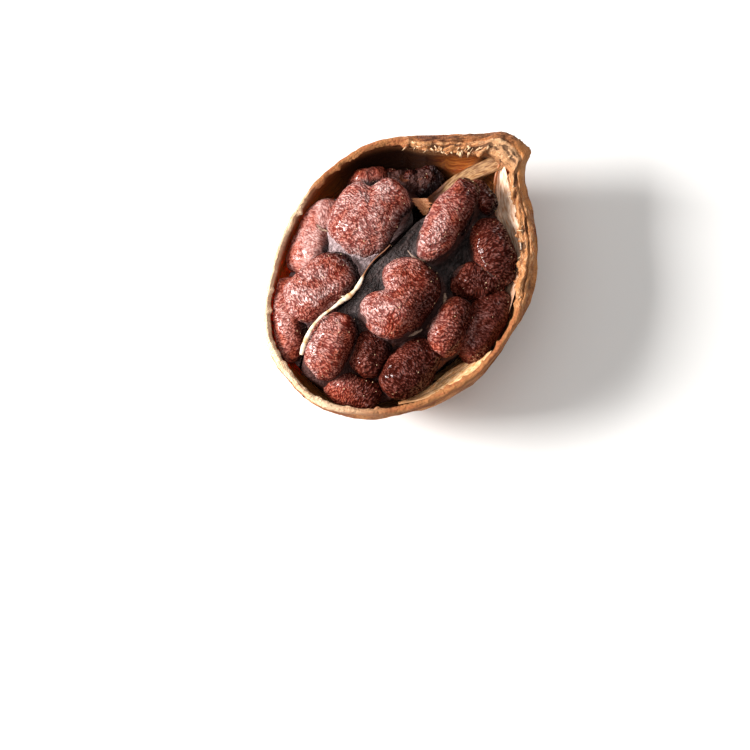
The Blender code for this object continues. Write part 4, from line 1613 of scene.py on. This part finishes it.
@dataclass
class Fibre:
    """Dried fibres, each a flat ribbon swept along a path by geometry nodes."""

    name: str
    paths: tuple                             # for each: x, y, height and half-width along it
    flatness: float = 0.6
    browned: float = 0.70                    # share of its length where it turns brown
    fade: float = 0.04                       # share of its length over which it does, to either side
    unevenness: float = 0.35
    points: int = 140                        # rows along a long fibre
    few_points: int = 16                     # rows along a short one, drawn by three places or less
    sides: int = 10

    def tree(self, material: bpy.types.Material) -> bpy.types.NodeTree:
        """Builds the tree that sweeps an oval along the fibre.

        Args:
            material: Finish of the fibre.

        Returns:
            The tree.
        """
        tree, start = new_tree("fibre_sweep", {"Flatness": "NodeSocketFloat", "Sides": "NodeSocketInt"})
        along = add_node(tree, "GeometryNodeSplineParameter")
        run = add_node(tree, "ShaderNodeMath", {0: along.outputs["Length"], 1: 1000.0},
                       operation="MULTIPLY")
        brown = add_node(tree, "ShaderNodeMapRange", {"Value": along.outputs["Factor"],
                                                      "From Min": self.browned - self.fade,
                                                      "From Max": self.browned + self.fade})
        line = add_node(tree, "GeometryNodeStoreNamedAttribute", {
            "Geometry": start.outputs["Geometry"], "Name": "run", "Value": run.outputs[0]})
        line = add_node(tree, "GeometryNodeStoreNamedAttribute", {
            "Geometry": line.outputs[0], "Name": "edge", "Value": brown.outputs[0]})
        ring = add_node(tree, "GeometryNodeCurvePrimitiveCircle",
                        {"Resolution": start.outputs["Sides"], "Radius": 1.0})
        scale = add_node(tree, "ShaderNodeCombineXYZ", {0: 1.0, 1: start.outputs["Flatness"], 2: 1.0})
        oval = add_node(tree, "GeometryNodeTransform",
                        {"Geometry": ring.outputs[0], "Scale": scale.outputs[0]})
        radius = add_node(tree, "GeometryNodeInputRadius")
        swept = add_node(tree, "GeometryNodeCurveToMesh", {
            "Curve": line.outputs[0], "Profile Curve": oval.outputs[0], "Scale": radius.outputs[0],
            "Fill Caps": True})
        close_tree(tree, swept.outputs[0], material)
        return tree

    def build(self, material: bpy.types.Material) -> bpy.types.Object:
        """Makes the fibres.

        Args:
            material: Their finish.

        Returns:
            The piece.
        """
        data = bpy.data.curves.new("fibre_path", "CURVE")
        data.dimensions = "3D"
        data.twist_mode = "Z_UP"
        for rows in self.paths:
            count = self.points if len(rows) > 3 else self.few_points
            path = even_curve(rows, count)
            mark = np.column_stack([path[:, 0] * 2, path[:, 1] * 0, path[:, 2] * 0])
            path[:, 3] *= 1 + self.unevenness * ripples(mark, 0.5, 71)
            spline = data.splines.new("POLY")
            spline.points.add(count - 1)
            rows_out = np.column_stack([to_frame(path[:, :3]), np.ones(count)])
            spline.points.foreach_set("co", rows_out.reshape(-1))
            spline.points.foreach_set("radius", path[:, 3] * MM)
        source = link(bpy.data.objects.new("fibre_path", data))
        values = {"Flatness": self.flatness, "Sides": self.sides}
        return grow(source, self.tree(material), values, self.name)


LOOSE_FIBRE = Fibre("fibre_ribbon", (
    ((-7.42, 1.26, 0.86, 0.09), (-6.96, 1.45, 1.10, 0.13), (-6.14, 1.67, 1.27, 0.10),
     (-5.32, 1.68, 1.34, 0.075), (-4.48, 1.50, 1.36, 0.075), (-3.95, 1.40, 1.36, 0.13),
     (-3.60, 1.30, 1.34, 0.15), (-3.25, 1.26, 1.34, 0.10), (-2.85, 1.28, 1.34, 0.12),
     (-2.50, 1.36, 1.34, 0.09), (-2.20, 1.45, 1.32, 0.04), (-1.67, 1.54, 1.28, 0.035),
     (-1.10, 1.54, 1.24, 0.03), (-0.53, 1.46, 1.22, 0.03), (-0.10, 1.44, 1.18, 0.02)),
    ((-3.70, 1.36, 1.36, 0.05), (-3.82, 1.52, 1.45, 0.035), (-3.98, 1.62, 1.50, 0.012)),
))
LINING_RIDGE = Fibre("lining_ridge", (
    ((7.20, 0.02, -0.02, 0.05), (6.80, -0.12, -0.24, 0.07), (6.15, -0.51, -0.55, 0.08),
     (5.60, -0.90, -0.75, 0.07), (5.15, -1.28, -0.95, 0.06), (4.80, -1.75, -1.10, 0.04)),
), flatness=0.8, browned=0.9)


@dataclass
class Studio:
    """Plain pale floor, soft light from the upper left of the photo, and the camera."""

    azimuth: float = math.radians(-50)
    elevation: float = math.radians(79)
    pixel: float = 0.052                     # millimetres of the fruit that one pixel covers
    middle: tuple[float, float] = (412.5, 264.5)   # where the fruit's middle is in the photo
    photo: float = 750
    lens: float = 100.0
    look_at: tuple[float, float, float] = (0.0, 0.0, 0.4)   # the fruit's middle, in plan millimetres
    aim_height: float = 0.006                # metres over the floor that the lights point at
    floor_half: float = 400.0                # millimetres
    air: float = 0.24                        # strength of the light from all round
    lights: tuple = (                        # name, place in metres, side in metres and watts
        ("key_softbox", (-0.078, 0.096, 0.088), 0.060, 0.52),
        ("top_softbox", (-0.030, 0.010, 0.160), 0.120, 0.07),
        ("rim_softbox", (0.120, 0.010, 0.070), 0.050, 0.03),
    )

    def build(self) -> None:
        """Makes the floor, the lights and the camera."""
        self.build_floor()
        for light in self.lights:
            self.build_light(*light)
        world = bpy.data.worlds.new("studio_air")
        world.use_nodes = True
        world.node_tree.nodes.clear()
        glow = add_node(world.node_tree, "ShaderNodeBackground",
                        {"Color": (1.0, 1.0, 1.0, 1.0), "Strength": self.air})
        add_node(world.node_tree, "ShaderNodeOutputWorld", {"Surface": glow.outputs[0]})
        bpy.context.scene.world = world
        bpy.context.scene.view_settings.view_transform = "Standard"
        self.build_camera()

    def build_floor(self) -> None:
        """Makes the floor."""
        p = Palette("floor_matt_white")
        material = p.finish(tone("#f4f2ef"), 0.9, 0.5, 0.0)
        signs = ((-1, -1), (1, -1), (1, 1), (-1, 1))
        corners = np.array([(x * self.floor_half, y * self.floor_half, -GIRTH_HEIGHT) for x, y in signs])
        make_piece("floor", corners, [[0, 1, 2, 3]], {}, material)

    def build_light(self, name: str, place: tuple[float, float, float], size: float, power: float) -> None:
        """Makes one soft square light that faces the fruit.

        Args:
            name: Name of the light.
            place: Where it stands, in metres.
            size: Side of the square in metres.
            power: Its power in watts.
        """
        lamp = bpy.data.lights.new(name, "AREA")
        lamp.energy = power
        lamp.size = size
        light = link(bpy.data.objects.new(name, lamp))
        light.location = place
        aim = Vector((0, 0, self.aim_height)) - Vector(place)
        light.rotation_euler = aim.to_track_quat("-Z", "Y").to_euler()

    def build_camera(self) -> None:
        """Makes the camera, with the fruit as large and as high in the picture as in the photo."""
        width = self.photo * self.pixel * MM
        data = bpy.data.cameras.new("camera")
        data.lens = self.lens
        data.clip_start = 0.005
        distance = self.lens / data.sensor_width * width
        back = Vector((math.sin(self.azimuth) * math.cos(self.elevation),
                       -math.cos(self.azimuth) * math.cos(self.elevation), math.sin(self.elevation)))
        right = Vector((math.cos(self.azimuth), math.sin(self.azimuth), 0))
        up = back.cross(right)
        aim = Vector(to_frame(np.array(self.look_at)))
        half = self.photo / 2
        aim -= right * ((self.middle[0] - half) * self.pixel * MM)
        aim -= up * ((half - self.middle[1]) * self.pixel * MM)
        camera = link(bpy.data.objects.new("camera", data))
        camera.rotation_mode = "QUATERNION"
        camera.location = aim + back * distance
        camera.rotation_quaternion = Matrix((right, up, back)).transposed().to_quaternion()
        bpy.context.scene.camera = camera


def make_ball(cuts: int) -> tuple[Array, list]:
    """Unit directions and faces of a cube blown up to a ball, with faces of about one size.

    Args:
        cuts: Cuts across each side of the cube.

    Returns:
        The directions and the faces.
    """
    bm = bmesh.new()
    bmesh.ops.create_cube(bm, size=2)
    bmesh.ops.subdivide_edges(bm, edges=bm.edges, cuts=cuts, use_grid_fill=True)
    spots = np.tan(np.array([v.co for v in bm.verts]) * (math.pi / 4))
    faces = [[v.index for v in face.verts] for face in bm.faces]
    bm.free()
    return spots / np.linalg.norm(spots, axis=1, keepdims=True), faces


def pick_spots(piece: bpy.types.Object, share: float, steepest: float, pattern: int) -> tuple[Array, Array]:
    """Random spots on the upper side of a piece.

    Args:
        piece: The piece.
        share: Share of its points that are picked.
        steepest: Least upward part of the surface's normal.
        pattern: Seed of the choice.

    Returns:
        The spots in plan millimetres, and the normals there.
    """
    mesh = piece.data
    spots, normals = (np.empty(len(mesh.vertices) * 3, np.float32) for _ in range(2))
    mesh.vertices.foreach_get("co", spots)
    mesh.vertices.foreach_get("normal", normals)
    spots, normals = spots.reshape(-1, 3), normals.reshape(-1, 3)
    chance = np.random.default_rng(pattern).random(len(spots))
    picked = (chance < share) & (normals[:, 2] > steepest)
    return spots[picked] / MM - FRAME_SHIFT, normals[picked]


def place(piece: bpy.types.Object, node: str) -> None:
    """Rides a piece on the fruit, in place of a CAD node, and reports it.

    Args:
        piece: The finished piece.
        node: The CAD node that it stands for.
    """
    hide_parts(node)
    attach(piece, "root")
    LOG.info("%s: %d faces for %s", piece.name, len(piece.data.polygons), node)


SPLINTERS = Scatter(GrainShape.SPLINTER, length=0.30, thickness=0.06, seed=5)
SPLINTER_TRIES = 150
CRUMBS = Scatter(GrainShape.CRUMB, length=0.0, thickness=0.034, seed=7)
CRUMB_SHARE = 0.0022                         # of a seed's points that carry a crumb
CRUMB_SLOPE = 0.25                           # least upward part of the surface's normal under one
SPLINTER_PATTERN, SCRAP_PATTERN, FLAKE_PATTERN = 91, 81, 85
FIRST_SEED_PATTERN, SEED_PATTERN_STEP = 50, 17


def dress_husk(husk: Husk) -> None:
    """Builds the husk with the splinters of its torn edge.

    Args:
        husk: The husk.
    """
    place(husk.build(HuskFinish().build()), "husk")
    points, aims = husk.torn_spots(SPLINTER_TRIES, SPLINTER_PATTERN)
    place(SPLINTERS.build("torn_edge_splinters", points, aims, Membrane.TORN_ENDS.material()), "husk")


class ClusterDress:
    """The finishes that both clusters wear."""

    def __init__(self) -> None:
        """Makes the materials."""
        self.pulp = PulpFinish().build()
        self.aril = SeedFinish().build()
        self.flake = Membrane.FLAKE.material()
        self.crumb = Membrane.CRUMB.material()


def dress_cluster(cluster: Cluster, husk: Husk, dress: ClusterDress) -> None:
    """Builds one cluster of seeds with its pulp.

    Args:
        cluster: Which of the two.
        husk: The husk that it lies in.
        dress: Its finishes.
    """
    node = "seed_cluster_" + cluster.value
    members = [seed for seed in SEEDS if seed.cluster is cluster]
    pulp = Pulp(cluster, members)
    place(pulp.build(husk, dress.pulp), node)
    spots, aims = [], []
    for number, seed in enumerate(members):
        pattern = FIRST_SEED_PATTERN + SEED_PATTERN_STEP * number
        piece = seed.build(husk, pulp, pattern, dress.aril)
        found = pick_spots(piece, CRUMB_SHARE, CRUMB_SLOPE, number)
        spots.append(found[0])
        aims.append(found[1])
        place(piece, node)
    for flake, owner in FLAKES:
        if owner == node:
            place(flake.build(FLAKE_PATTERN, dress.flake), node)
    place(CRUMBS.build("crumbs_" + cluster.value, np.vstack(spots), np.vstack(aims), dress.crumb), node)


def main() -> None:
    """Builds and dresses the fruit, its light and its camera."""
    logging.basicConfig(level=logging.INFO, format="%(message)s")
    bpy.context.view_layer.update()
    husk = Husk()
    dress_husk(husk)
    dress = ClusterDress()
    for cluster in Cluster:
        dress_cluster(cluster, husk, dress)
    place(Strap().build(Membrane.SEPTUM.material()), "septum_strap")
    place(SCRAP.build(SCRAP_PATTERN, Membrane.BROWNED.material()), "septum_strap")
    place(LOOSE_FIBRE.build(Membrane.THREAD.material()), "fibre_strand")
    place(Lining().build(Membrane.LINING.material()), "husk")
    place(LOW_LINING.build(Membrane.LOW_LINING.material()), "husk")
    place(LINING_RIDGE.build(Membrane.SEAM.material()), "husk")
    Studio().build()


if __name__ == "__main__":
    main()
